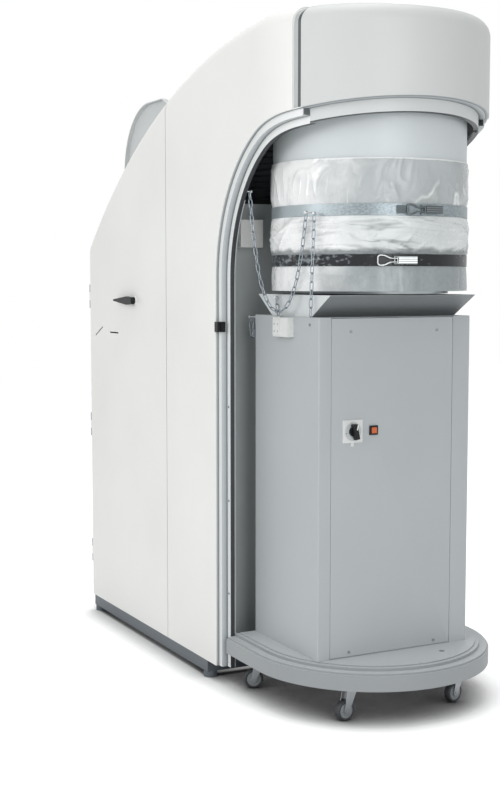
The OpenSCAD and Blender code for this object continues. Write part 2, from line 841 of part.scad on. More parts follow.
// The bail's wire frame, drawn from its pivot to its end; d makes it narrower
module bail_outline(d) polygon([
  [bail_x + (d > 0 ? -bail_r : bail_r), bail_neck - d], [-8, bail_neck - d], [-bail_l + d, bail_wide - d],
  [-bail_l + d, d - bail_wide], [-8, d - bail_neck], [bail_x + (d > 0 ? -bail_r : bail_r), d - bail_neck]
]);

module bail() {
  translate([0, -bail_y, 0]) rotate([90, 0, 0]) linear_extrude(1.6 * bail_r, center = true) difference() {
    translate([-bail_r, 0]) bail_outline(0);
    translate([-bail_r, 0]) bail_outline(2 * bail_r);
  }
  rod([bail_x, -bail_y, -ear_z + fit], [bail_x, -bail_y, ear_z - fit], bail_r);
}

module upper_band() color("silver") at_drum() clamp_band(upper_z, upper_turn);
module lower_band() color("black") at_drum() clamp_band(lower_z, lower_turn);
module upper_lever() color("silver") at_drum() on_band(upper_z, upper_turn) lever();
module lower_lever() color("silver") at_drum() on_band(lower_z, lower_turn) lever();
module upper_bail() color("silver") at_drum() on_band(upper_z, upper_turn) bail();
module lower_bail() color("silver") at_drum() on_band(lower_z, lower_turn) bail();

// ---------- chains ----------

function leg(p, i) = norm(p[i + 1] - p[i]);
function path_len(p, i = 0) = i >= len(p) - 1 ? 0 : leg(p, i) + path_len(p, i + 1);

// The point at a distance s along a route
function along(p, s, i = 0) = i >= len(p) - 2 || s <= leg(p, i)
  ? p[i] + (p[i + 1] - p[i]) * s / leg(p, i)
  : along(p, s - leg(p, i), i + 1);

function cosh(x) = (exp(x) + exp(-x)) / 2;
function arsinh(x) = ln(x + sqrt(x * x + 1));

// The route of a chain that hangs between two studs; the smaller c is, the deeper it hangs
function hang(a, b, c, n = 24) = let (
    flat = norm([b[0] - a[0], b[1] - a[1]]),
    rise = b[2] - a[2],
    low = flat / 2 - c * arsinh(rise / c / (exp(flat / 2 / c) - exp(-flat / 2 / c))))
  [for (k = [0:n]) let (s = flat * k / n)
    [a[0] + (b[0] - a[0]) * k / n, a[1] + (b[1] - a[1]) * k / n,
      a[2] + stud_r - fit + c * (cosh((s - low) / c) - cosh(low / c))]];

module link() {
  r = (link_w + link_d) / 2;
  half = (link_p + 2 * fit - link_w) / 2;
  for (s = [-1, 1]) {
    translate([s * half, 0, 0]) rotate([0, 0, s > 0 ? -90 : 90])
      rotate_extrude(angle = 180) translate([r, 0]) circle(link_d / 2, $fn = 24);
    translate([-half, s * r, 0]) rotate([0, 90, 0]) cylinder(r = link_d / 2, h = 2 * half, $fn = 24);
  }
}

// A chain along a route; twist is the turn of its first link
module chain(route, twist) {
  n = ceil(path_len(route) / link_p - 0.02);
  step = path_len(route) / n;
  for (k = [0:n - 1]) {
    a = along(route, k * step);
    d = along(route, (k + 1) * step) - a;
    translate(a + d / 2) rotate([0, -asin(d[2] / norm(d)), atan2(d[1], d[0])])
      rotate([k % 2 * 90 + twist, 0, 0]) link();
  }
}

// A headed pin that a chain hangs on; the turns point it away from its surface
module stud(place, turn, back, reach) translate(place) rotate(turn) {
  translate([0, 0, -back]) cylinder(r = stud_r, h = back + reach + 1);
  translate([0, 0, reach]) cylinder(r = 4, h = 2);
}

module long_chain() color("silver") at_origin() {
  chain(hang(trim_stud, band_stud, 48.74), -78);
  stud(trim_stud, [0, 90, 0], 8, 6);
  stud(band_stud, [0, -90, 23.5], stud_out - band_out, 6);
}

module short_chains() color("silver") at_origin() {
  chain([tag_stud + [0, 0, stud_r - fit], tag_stud - [12, 0, 12 * link_p - stud_r]], -28);
  stud(tag_stud, [0, -90, 28.5], stud_out - band_out, 6);
  chain(hang(rim_stud, plug_stud + [0, 0, 2], 29.5), -110);
  stud(rim_stud, [0, -90, 0], 8, 6);
  stud(plug_stud, [0, 0, 0], 4, 8);
  chain(hang(corner_stud + [0, 10, 0], corner_stud + [0, 37, 0], 3.62), 90);
  stud(corner_stud, [-90, 0, 0], 0, 46);
}

// ---------- cabinet ----------

module cabinet_shell() color("silver") at_origin() difference() {
  block([-cab_x, -cab_front, top_z], [cab_x, cab_rear, cab_top]);
  block([-cab_x + cab_t, -cab_front + cab_t, top_z + cab_t],
    [cab_x - cab_t, cab_rear - cab_t, cab_top - cab_t]);
  block([-panel_l - panel_gap, -far, panel_z0 - panel_gap],
    [panel_r + panel_gap, -cab_front + cab_t + eps, panel_z1 + panel_gap]);
  block([-hop_x - fit, -neck_front - fit, cab_top - 10], [hop_x + fit, neck_rear + fit, far]);
}

module cabinet_front() color("darkgray") at_origin() {
  difference() {
    block([-panel_l, -cab_front, panel_z0], [panel_r, -cab_front + cab_t, panel_z1]);
    translate([-switch_x, 0, switch_z]) rotate([90, 0, 0]) cylinder(r = spindle_r + run, h = far);
    translate([-lamp_x, 0, switch_z]) cube([button_s + 1, far, button_s + 1], center = true);
    for (x = screw_xs, z = screw_zs) translate([x, 0, z]) rotate([90, 0, 0]) cylinder(r = 2.6, h = far);
  }
  for (s = [-1, 1]) {
    x = s < 0 ? -panel_l - 12 : panel_r - 8;
    block([x, -cab_front + cab_t, panel_z0 + 20], [x + 20, -cab_front + cab_t + 2, panel_z1 - 20]);
  }
}

// The head of a small screw, facing forward
module screw_head() rotate([90, 0, 0]) difference() {
  cylinder(r = 4.5, h = 2);
  translate([0, 0, 0.8]) cylinder(r = 2, h = 2, $fn = 6);
}

module screws() color("gray") at_origin() {
  for (x = screw_xs, z = screw_zs) translate([x, -cab_front, z]) {
    screw_head();
    rotate([-90, 0, 0]) cylinder(r = 2.5, h = 10);
  }
  translate([-cab_x, -142, cab_top - 22]) rotate([0, 0, -90]) screw_head();
  for (s = [-1, 1], z = [300, 600, 900])
    translate([s * (half_w - rib_in - step_in), arch_edge - 1.5 * step_w, z]) rotate([0, 0, s * 90])
      scale(0.8) screw_head();
}

module switch_plate() color("whitesmoke") at_origin() {
  translate([-switch_x, -cab_front - 2, switch_z]) difference() {
    union() {
      cube([switch_s, 4, switch_s], center = true);
      rotate([90, 0, 0]) cylinder(r = 28, h = 4.5);
      block([-5, 0, -switch_s / 2 - 10], [5, 2, -switch_s / 2 + 1]);
    }
    rotate([90, 0, 0]) translate([0, 0, -50]) cylinder(r = spindle_r + run, h = 100);
  }
}

module switch_knob() color("black") at_origin() translate([-switch_x, -cab_front - 6.5 - fit, switch_z])
  rotate([90, 0, 0]) {
    cylinder(r = knob_r, h = 6);
    rotate([0, 0, 12]) block([-7, -23, 5], [7, 23, 20]);
    translate([0, 0, -40]) cylinder(r = spindle_r, h = 41);
  }

module lamp_bezel() color("black") at_origin() translate([-lamp_x, -cab_front, switch_z]) difference() {
  union() {
    block([-lamp_s / 2, -5, -lamp_s / 2], [lamp_s / 2, 0, lamp_s / 2]);
    block([-button_s / 2 - 0.4, -1, -button_s / 2 - 0.4], [button_s / 2 + 0.4, 30, button_s / 2 + 0.4]);
  }
  block([-button_s / 2 + 1, -6, -button_s / 2 + 1], [button_s / 2 - 1, 26, button_s / 2 - 1]);
}

module lamp_button() color("orangered") at_origin() translate([-lamp_x, -cab_front, switch_z])
  block([-button_s / 2 + 1.3, -4 - lamp_travel, -button_s / 2 + 1.3],
    [button_s / 2 - 1.3, 12, button_s / 2 - 1.3]);

module interlock_socket() color("gainsboro") at_origin() difference() {
  union() {
    block([-cab_x - 20, -44, cab_top - 62], [-cab_x, 50, cab_top - 4]);
    block([-cab_x - 24, 4, cab_top - 56], [-cab_x - 18, 44, cab_top - 12]);
  }
  for (y = [14, 34], z = [cab_top - 46, cab_top - 24])
    x_rod(3, -cab_x - 30, -cab_x - 8, y, z);
}

module hopper() color("darkgray") at_origin() {
  t = 2;
  for (s = [-1, 1]) across_from(s * hop_x, s * (hop_x - t)) {
    polygon([[-neck_front, cab_top], [neck_rear, cab_top], [rim_rear, hop_top], [-rim_front, hop_top]]);
    translate([-neck_front, cab_top - 60]) square([neck_front + neck_rear, 61]);
  }
  across(2 * hop_x - 1) {
    polygon([[-neck_front, cab_top], [-neck_front + t + 1, cab_top], [-rim_front + t + 1, hop_top],
      [-rim_front, hop_top]]);
    polygon([[neck_rear, cab_top], [neck_rear - t - 1, cab_top], [rim_rear - t - 1, hop_top],
      [rim_rear, hop_top]]);
    translate([-neck_front, cab_top - 60]) square([t, 61]);
    translate([neck_rear - t, cab_top - 60]) square([t, 61]);
  }
}

// The platform's outline: round at the front, straight at the back
module base_outline(d) translate([drum_x, 0]) {
  circle(base_r - d);
  translate([-base_r + d, 0]) square([2 * (base_r - d), base_back - d]);
}

module base_plan(d) intersection() {
  base_outline(d);
  translate([-far, -far]) square([2 * far, far + base_back - d]);
}

module platform() color("darkgray") at_origin() difference() {
  union() {
    translate([0, 0, base_z0]) linear_extrude(rim_z - base_z0 - 6) base_plan(0);
    translate([0, 0, base_z0]) linear_extrude(rim_z - base_z0) base_plan(5);
    translate([0, 0, base_z0]) linear_extrude(top_z - base_z0 - 4) base_plan(30);
    translate([0, 0, base_z0]) linear_extrude(top_z - base_z0) base_plan(42);
    block([-80, base_back - 60, base_z0], [80, wall_y, base_z0 + 30]);
  }
  translate([0, 0, base_z0 - eps]) linear_extrude(8 + eps) difference() {
    base_plan(8);
    for (c = casters) translate([c[0], c[1]]) square(76, center = true);
  }
  translate([130, -262, top_z - 14]) cylinder(r = 9, h = 20);
  for (s = [-1, 1]) translate([s * (half_w - trim_in - trim_t - fit), arch_edge - 2 * step_w - fit, 0])
    mirror([s < 0 ? 1 : 0, 0, 0]) cube(far);
}

// ---------- cutters inside the cabinet ----------

module cutter_frame() color("steelblue") at_origin() difference() {
  union() {
    for (s = [-1, 1]) {
      block([s * frame_x - 8, -neck_front + 6, cutter_z - 70],
        [s * frame_x + 8, neck_rear - 6, cutter_z + 50]);
      y = s < 0 ? -neck_front + 6 : neck_rear - 14;
      block([-frame_x, y, cutter_z - 70], [frame_x, y + 8, cutter_z + 50]);
    }
    for (y = [-neck_front + 6, neck_rear - 30])
      block([-cab_x + cab_t, y, cutter_z - 90], [cab_x - cab_t, y + 24, cutter_z - 68]);
  }
  for (s = [-1, 1]) x_rod(cutter_shaft_r + run, -far, far, s * cutter_gap / 2 - 7, cutter_z);
}

module cutter_shaft(s, x_end) {
  y = s * cutter_gap / 2 - 7;
  x_rod(cutter_shaft_r, -frame_x - 26, x_end, y, cutter_z);
  for (k = [0:cutter_n - 1]) translate([(k - (cutter_n - 1) / 2) * disc_p + s * disc_p / 4, y, cutter_z])
    rotate([k * 25, 0, 0]) rotate([0, 90, 0]) cylinder(r = cutter_r, h = disc_t, center = true, $fn = 9);
  x_rod(cutter_gap / 2 - fit, -frame_x - 26, -frame_x - 10, y, cutter_z);
}

module cutter_shaft_a() color("silver") at_origin() cutter_shaft(-1, frame_x + 20);
module cutter_shaft_b() color("silver") at_origin() cutter_shaft(1, frame_x + 8);

module cutter_motor() color("royalblue") at_origin() difference() {
  y = -cutter_gap / 2 - 7;
  union() {
    block([frame_x + 8, y - gear_w / 2, cutter_z - gear_h],
      [frame_x + gear_w, y + gear_w / 2, cutter_z + 55]);
    translate([frame_x + gear_w / 2 + 4, y, cutter_z - gear_h - 220]) cylinder(r = gear_motor_r, h = 225);
  }
  x_rod(cutter_shaft_r + run, frame_x, frame_x + 24, y, cutter_z);
}

// ---------- casters ----------

module at_caster(i) at_origin() translate([casters[i][0], casters[i][1], 0]) rotate([0, 0, casters[i][2]])
  children();

module caster_plates() color("silver") for (i = [0:3]) at_caster(i) {
  translate([0, 0, base_z0 - caster_plate_t / 2]) rotate([0, 0, -casters[i][2]])
    cube([64, 64, caster_plate_t], center = true);
  translate([0, 0, fork_top - 12]) cylinder(r = king_r, h = 14);
}

module caster_fork(i) color("silver") at_caster(i) {
  difference() {
    union() {
      translate([0, 0, fork_top - 9]) cylinder(r = 24, h = 9);
      for (s = [-1, 1]) translate([0, s * (wheel_w / 2 + fork_gap + fork_t / 2), 0])
        rotate([90, 0, 0]) linear_extrude(fork_t, center = true) {
          polygon([[-17, fork_top - 4], [19, fork_top - 4], [trail + 10, wheel_r], [trail - 10, wheel_r]]);
          translate([trail, wheel_r]) circle(10);
        }
    }
    translate([0, 0, fork_top - 13]) cylinder(r = king_r + run, h = 30);
  }
  translate([trail, 0, wheel_r]) rotate([90, 0, 0])
    cylinder(r = axle_r, h = wheel_w + 2 * (fork_gap + fork_t + 2), center = true);
}

module caster_wheel(i) color("dimgray") at_caster(i) translate([trail, 0, wheel_r]) rotate([90, 0, 0])
  difference() {
    union() {
      rotate_extrude() {
        translate([0, -wheel_w / 2 + 3]) square([wheel_r, wheel_w - 6]);
        translate([0, -wheel_w / 2]) square([wheel_r - 3, wheel_w]);
        for (s = [-1, 1]) translate([wheel_r - 3, s * (wheel_w / 2 - 3)]) circle(3);
      }
    }
    for (s = [-1, 1]) translate([0, 0, s * wheel_w / 2]) difference() {
      cylinder(r = wheel_r - 8, h = 5, center = true);
      cylinder(r = 10, h = 6, center = true);
    }
    cylinder(r = axle_r + run, h = far, center = true);
  }

body_frame();
arm_shell();
front_cap();
rear_shell();
left_door();
door_hinges();
door_lever();
left_trim();
right_trim();
front_lip();
trim_blocks();
front_wall();
hood_floor();
junction_box();
riser_duct();
feed_hopper();
feed_flap();
mill_housing();
rotor();
rotor_pulley();
blower_housing();
blower_wheel();
drive_shaft();
mill_motor();
drive_belt();
drum();
film_collar();
film_gather();
film_skirt();
upper_band();
lower_band();
upper_lever();
upper_bail();
lower_lever();
lower_bail();
long_chain();
short_chains();
cabinet_shell();
cabinet_front();
screws();
switch_plate();
switch_knob();
lamp_bezel();
lamp_button();
interlock_socket();
hopper();
platform();
cutter_frame();
cutter_shaft_a();
cutter_shaft_b();
cutter_motor();
caster_plates();
caster_fork(0);  // caster_fork_1
caster_fork(1);  // caster_fork_2
caster_fork(2);  // caster_fork_3
caster_fork(3);  // caster_fork_4
caster_wheel(0);  // caster_wheel_1
caster_wheel(1);  // caster_wheel_2
caster_wheel(2);  // caster_wheel_3
caster_wheel(3);  // caster_wheel_4
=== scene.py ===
"""Looks of a tall industrial shredder: body with arch, outlet drum with bag film, and castered switch cabinet.

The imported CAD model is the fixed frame. This script dresses its nodes, replaces those that need softer or finer
shapes, and sets up the floor, the lights and the camera. All sizes are metres in the row frame.
"""

import json
import logging
import math
from contextlib import contextmanager
from dataclasses import dataclass
from enum import Enum
from functools import partial
from typing import Callable, Iterable, Iterator, Sequence

import bmesh
import bpy
from mathutils import Matrix, Vector, noise


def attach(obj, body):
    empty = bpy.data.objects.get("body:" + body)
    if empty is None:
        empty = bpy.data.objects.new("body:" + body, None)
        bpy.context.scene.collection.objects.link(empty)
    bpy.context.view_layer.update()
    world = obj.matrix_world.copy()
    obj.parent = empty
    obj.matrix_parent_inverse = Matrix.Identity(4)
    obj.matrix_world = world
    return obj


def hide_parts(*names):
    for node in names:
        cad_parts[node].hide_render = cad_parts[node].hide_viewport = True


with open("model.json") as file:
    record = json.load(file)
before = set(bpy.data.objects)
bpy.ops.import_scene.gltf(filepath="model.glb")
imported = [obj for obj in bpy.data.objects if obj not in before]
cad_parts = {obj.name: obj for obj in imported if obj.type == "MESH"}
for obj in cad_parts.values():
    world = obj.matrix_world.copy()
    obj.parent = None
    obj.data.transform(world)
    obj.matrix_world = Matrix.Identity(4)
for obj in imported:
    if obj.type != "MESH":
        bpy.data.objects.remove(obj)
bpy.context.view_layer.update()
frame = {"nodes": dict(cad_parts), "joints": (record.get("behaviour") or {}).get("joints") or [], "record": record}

LOG = logging.getLogger("shredder")

Point = tuple[float, float, float]
Shape = tuple[list[Point], list[tuple[int, ...]]]
Socket = bpy.types.NodeSocket

# The drum's upright axis, the middle heights of its two bands and their outer radius
DRUM_X, DRUM_Y = 0.022, -0.5
UPPER_BAND, LOWER_BAND = 1.504, 1.358
BAND_RADIUS = 0.3011

# The film's inner radius, just outside the drum, and the direction in which its folds rise
FILM_RADIUS = 0.2973
FRONT_LEFT = math.radians(242)

# Points of a mesh that are closer than this become one
WELD = 1e-6


# ---------------------------------------------------------------- node trees


class Grain(Enum):
    """Fine surface textures: grains per metre, octaves, stretch along each axis, and height in metres."""

    ORANGE_PEEL = (420, 2.0, (1, 1, 1), 0.00006)
    BRUSHED = (90, 4.0, (1, 1, 18), 0.00004)
    MOULDED = (900, 3.0, (1, 1, 1), 0.00012)
    SMOOTH = (60, 2.0, (1, 1, 1), 0.00001)
    WORN = (240, 3.0, (1, 1, 6), 0.00005)


class Tree:
    """Adds nodes to one node tree and joins them."""

    def __init__(self, tree: bpy.types.NodeTree) -> None:
        """Starts on a tree, which it empties.

        Args:
            tree: The tree.
        """
        self.tree = tree
        tree.nodes.clear()

    def put(self, socket: Socket, value: object) -> None:
        """Fills an input.

        Args:
            socket: The input.
            value: The output that it is joined to, or its value; a colour has three linear parts.
        """
        if isinstance(value, Socket):
            self.tree.links.new(value, socket)
        else:
            socket.default_value = (*value, 1) if socket.type == "RGBA" else value

    def add(self, kind: str, *values: object, **settings: object) -> bpy.types.Node:
        """Adds a node.

        Args:
            kind: The node's type name.
            *values: What fills its inputs in turn, or None to leave one.
            **settings: Properties, and what fills an input by name if the key starts with "in_".

        Returns:
            The new node.
        """
        node = self.tree.nodes.new(kind)
        inputs: dict[object, object] = dict(enumerate(values))
        for key, value in settings.items():
            if key.startswith("in_"):
                inputs[key[3:].replace("_", " ")] = value
            else:
                setattr(node, key, value)
        for key, value in inputs.items():
            if value is not None:
                self.put(node.inputs[key], value)
        return node

    def math(self, operation: str, first: object, second: object = 0.0) -> Socket:
        """Adds a sum, difference or other simple step on two outputs or numbers."""
        return self.add("ShaderNodeMath", first, second, operation=operation).outputs[0]

    def vector(self, operation: str, first: object, second: object = None) -> Socket:
        """Adds a step on one or two vectors, and returns the number or the vector that it gives."""
        node = self.add("ShaderNodeVectorMath", first, second, operation=operation)
        return node.outputs["Value" if operation in ("DOT_PRODUCT", "LENGTH") else "Vector"]

    def split(self, spot: Socket) -> tuple[Socket, Socket, Socket]:
        """Gives the X, Y and Z parts of a vector."""
        return tuple(self.add("ShaderNodeSeparateXYZ", spot).outputs)

    def seen_directly(self) -> Socket:
        """Gives 1 for the camera's own rays and for those through glass or off metal, else 0.

        Returns:
            The factor.
        """
        path = self.add("ShaderNodeLightPath").outputs
        first = self.math("MAXIMUM", path["Is Camera Ray"], path["Is Glossy Ray"])
        return self.math("MAXIMUM", first, path["Is Transmission Ray"])


class NodeBench(Tree):
    """Builds the node tree of one material."""

    def __init__(self, name: str) -> None:
        """Starts a material with its output and shader.

        Args:
            name: The material's name.
        """
        self.material = bpy.data.materials.new(name)
        self.material.use_nodes = True
        super().__init__(self.material.node_tree)
        self.shader = self.add("ShaderNodeBsdfPrincipled")
        self.out = self.add("ShaderNodeOutputMaterial", self.shader.outputs["BSDF"])
        spots = self.add("ShaderNodeTexCoord").outputs
        self.place, self.normal = spots["Object"], spots["Normal"]

    def surface(self, **values: object) -> None:
        """Fills the shader's inputs, whose names have "_" for a space."""
        for key, value in values.items():
            self.put(self.shader.inputs[key.replace("_", " ")], value)

    def noise(self, scale: float, detail: float = 3.0, stretch: Point = (1, 1, 1)) -> Socket:
        """Adds a noise pattern.

        Args:
            scale: Grains per metre.
            detail: Octaves of the noise.
            stretch: How the pattern is scaled along each axis.

        Returns:
            The pattern's factor.
        """
        spot = self.place
        if stretch != (1, 1, 1):
            spot = self.add("ShaderNodeMapping", in_Vector=spot, in_Scale=stretch).outputs["Vector"]
        return self.add("ShaderNodeTexNoise", in_Vector=spot, in_Scale=scale, in_Detail=detail).outputs["Fac"]

    def spread(self, source: Socket, low: float, high: float, start: float = 0.3, end: float = 0.7) -> Socket:
        """Maps a factor from start..end to low..high.

        Args:
            source: The factor.
            low: Result at start.
            high: Result at end.
            start: Lower end of the input range.
            end: Upper end of the input range.

        Returns:
            The mapped value.
        """
        return self.add("ShaderNodeMapRange", source, start, end, low, high).outputs["Result"]

    def mix(self, factor: Socket, first: object, second: object) -> Socket:
        """Mixes two colours by a factor.

        Args:
            factor: The share of the second colour.
            first: Linear colour or socket at 0.
            second: Linear colour or socket at 1.

        Returns:
            The mixed colour.
        """
        unused = [None] * 5
        return self.add("ShaderNodeMix", factor, *unused, first, second, data_type="RGBA").outputs[2]

    def tint(self, colour: str, low: float, high: float, scale: float = 2.3, detail: float = 4.0) -> Socket:
        """Lets a written colour drift between a darker and a lighter tone of it.

        Args:
            colour: The colour.
            low: Factor of the darker tone.
            high: Factor of the lighter tone.
            scale: Clouds per metre.
            detail: Octaves of the clouds.

        Returns:
            The tone.
        """
        cloud = self.spread(self.noise(scale, detail), 0.0, 1.0)
        return self.mix(cloud, shade(linear(colour), low), shade(linear(colour), high))

    def ramp(self, factor: Socket, stops: Sequence[tuple[float, Point]]) -> Socket:
        """Colours along a factor.

        Args:
            factor: The factor from 0 to 1.
            stops: Place and linear colour of each stop.

        Returns:
            The colour.
        """
        node = self.add("ShaderNodeValToRGB", factor)
        band = node.color_ramp
        while len(band.elements) < len(stops):
            band.elements.new(0.5)
        for element, (place, colour) in zip(band.elements, stops):
            element.position = place
            element.color = (*colour, 1)
        return node.outputs[0]

    def bump(self, height: Socket, distance: float) -> None:
        """Adds bump of a given full height in metres to the shader's normal."""
        bump = self.add("ShaderNodeBump", in_Distance=distance, in_Height=height)
        self.surface(Normal=bump.outputs["Normal"])

    def roughen(self, low: float, high: float, *pattern: object) -> Socket:
        """Lets the roughness drift with a fine noise.

        Args:
            low: Least roughness.
            high: Most roughness.
            *pattern: The noise's scale, detail and stretch.

        Returns:
            The noise.
        """
        fine = self.noise(*pattern)
        self.surface(Roughness=self.spread(fine, low, high))
        return fine

    def grained(self, grain: Grain, low: float, high: float) -> bpy.types.Material:
        """Completes the material with a fine texture and its roughness from low to high.

        Args:
            grain: The texture.
            low: Least roughness.
            high: Most roughness.

        Returns:
            The material.
        """
        *pattern, height = grain.value
        self.bump(self.roughen(low, high, *pattern), height)
        return self.material


class GrowTree(Tree):
    """A geometry tree that makes a fine shape from a plain one."""

    def __init__(self, name: str, **inputs: object) -> None:
        """Starts a tree with inputs for the plain shape and the material.

        Args:
            name: The tree's name.
            **inputs: Further inputs, each with its value if it is a number, or else its kind.
        """
        super().__init__(bpy.data.node_groups.new(name, "GeometryNodeTree"))
        face = self.tree.interface
        for key, value in {"Geometry": "Geometry", **inputs, "Material": "Material"}.items():
            kind = value if isinstance(value, str) else "Float"
            socket = face.new_socket(key, in_out="INPUT", socket_type="NodeSocket" + kind)
            if kind == "Float":
                socket.default_value = value
        face.new_socket("Geometry", in_out="OUTPUT", socket_type="NodeSocketGeometry")
        self.ins = self.add("NodeGroupInput").outputs

    def run(self, holder: bpy.types.Object, shape: Socket, **values: object) -> bpy.types.Mesh:
        """Completes the tree and runs it on an object.

        Args:
            holder: The object with the plain shape; it is removed afterwards.
            shape: The output that gives the fine shape.
            **values: What fills the tree's inputs.

        Returns:
            The result as a mesh without modifiers.
        """
        real = self.add("GeometryNodeRealizeInstances", shape).outputs[0]
        paint = self.add("GeometryNodeSetMaterial", in_Geometry=real, in_Material=self.ins["Material"])
        self.add("NodeGroupOutput", paint.outputs[0])
        modifier = holder.modifiers.new(self.tree.name, "NODES")
        modifier.node_group = self.tree
        for item in self.tree.interface.items_tree:
            if item.in_out == "INPUT" and item.name in values:
                modifier[item.identifier] = values[item.name]
        holder.update_tag()
        mesh = baked(holder)
        bpy.data.objects.remove(holder)
        return mesh


# ---------------------------------------------------------------- finishes


def linear(hex_colour: str) -> Point:
    """Turns a written colour such as "#C0C0C0" into linear values."""
    parts = [int(hex_colour[k:k + 2], 16) / 255 for k in (1, 3, 5)]
    return tuple(c / 12.92 if c <= 0.04045 else ((c + 0.055) / 1.055) ** 2.4 for c in parts)


def shade(colour: Point, factor: float) -> Point:
    """Makes a colour lighter or darker by a factor."""
    return tuple(min(1.0, c * factor) for c in colour)


@dataclass(frozen=True)
class Look:
    """The look of a surface.

    Args:
        name: The record's material slot, or the look's own name.
    """

    name: str

    def build(self) -> bpy.types.Material:
        """Builds the material.

        Returns:
            The material.
        """
        raise NotImplementedError


@dataclass(frozen=True)
class Finish(Look):
    """One surface finish with its fine texture.

    Args:
        colour: Colour as written.
        rough: Roughness.
        metal: Metallic share.
        grain: Kind of fine texture.
        drift: How much the colour drifts over the surface.
        shine: Strength of the surface's reflections.
    """

    colour: str
    rough: float
    metal: float = 0.0
    grain: Grain = Grain.ORANGE_PEEL
    drift: float = 0.03
    shine: float = 0.5

    def build(self) -> bpy.types.Material:
        """Builds the material.

        Returns:
            The material.
        """
        bench = NodeBench(self.name)
        tone = bench.tint(self.colour, 1 - self.drift, 1 + self.drift)
        bench.surface(Base_Color=tone, Metallic=self.metal, Specular_IOR_Level=self.shine)
        return bench.grained(self.grain, self.rough - 0.05, self.rough + 0.06)


@dataclass(frozen=True)
class LitAndShadedPaint(Look):
    """Paint with painted light and shade: other tones on the faces that point some way, and in some strips across
    the piece.

    Args:
        colour: Colour of all the rest.
        sides: Direction and colour of the faces that point that way, painted lighter or darker as light falls on
            them.
        strips: Number of the axis, start, end and colour of each strip of painted shade or painted highlight.
        rough: Roughness.
        metal: Metallic share.
    """

    colour: str
    sides: tuple[tuple[Point, str], ...] = ()
    strips: tuple[tuple[int, float, float, str], ...] = ()
    rough: float = 0.43
    metal: float = 0.0

    def build(self) -> bpy.types.Material:
        """Builds the material.

        Returns:
            The material.
        """
        bench = NodeBench(self.name)
        tone = bench.tint(self.colour, 0.97, 1.03)
        # Painted light and shade by the way a face points
        for way, colour in self.sides:
            facing = bench.vector("DOT_PRODUCT", bench.normal, Vector(way).normalized())
            tone = bench.mix(bench.spread(facing, 0.0, 1.0, 0.7, 0.95), tone, linear(colour))
        place, soft = bench.split(bench.place), 0.0002
        # Strips across the piece: painted shade in a groove, painted highlights on ribs
        for axis, start, end, colour in self.strips:
            inside = bench.math("MULTIPLY", bench.spread(place[axis], 0.0, 1.0, start - soft, start + soft),
                                bench.spread(place[axis], 1.0, 0.0, end - soft, end + soft))
            tone = bench.mix(inside, tone, linear(colour))
        bench.surface(Base_Color=tone, Metallic=self.metal)
        return bench.grained(Grain.ORANGE_PEEL, self.rough - 0.05, self.rough + 0.06)


@dataclass(frozen=True)
class MouldingShadePaint(Look):
    """Paint of the arch moulding with painted shade: flats pale, and the walls between them painted darker the
    deeper they lie, as shade in the steps.

    Args:
        flat: Colour of the faces that look outwards.
        half: Half of the body's width.
        deepest: Depth at which the colours end.
        steps: Colours of the painted shade on the walls between the flats, with the depth of each.
    """

    flat: str
    half: float = 0.380
    deepest: float = 0.04
    steps: tuple[tuple[float, str], ...] = (
        (0.0, "#BDC2C4"), (0.009, "#8D9295"), (0.0118, "#5C6164"), (0.013, "#C3C8CA"), (0.026, "#9EA4A7"),
        (0.031, "#595E61"), (0.036, "#34373A"))

    def build(self) -> bpy.types.Material:
        """Builds the material.

        Returns:
            The material.
        """
        bench = NodeBench(self.name)
        x, y, _ = bench.split(bench.place)
        ahead = bench.math("MINIMUM", bench.math("SUBTRACT", y, DRUM_Y), 0.0)
        out = bench.add("ShaderNodeCombineXYZ", x, ahead).outputs[0]
        depth = bench.math("SUBTRACT", self.half, bench.vector("LENGTH", out))
        # Painted shade: the walls are coloured darker with depth, and faces that look outwards keep the pale flat
        # colour
        wall = bench.ramp(bench.math("DIVIDE", depth, self.deepest),
                          [(at / self.deepest, linear(colour)) for at, colour in self.steps])
        facing = bench.vector("DOT_PRODUCT", bench.vector("NORMALIZE", out), bench.normal)
        pale = bench.spread(bench.math("ABSOLUTE", facing), 0.0, 1.0, 0.5, 0.75)
        bench.surface(Base_Color=bench.mix(pale, wall, linear(self.flat)))
        return bench.grained(Grain.ORANGE_PEEL, 0.38, 0.48)


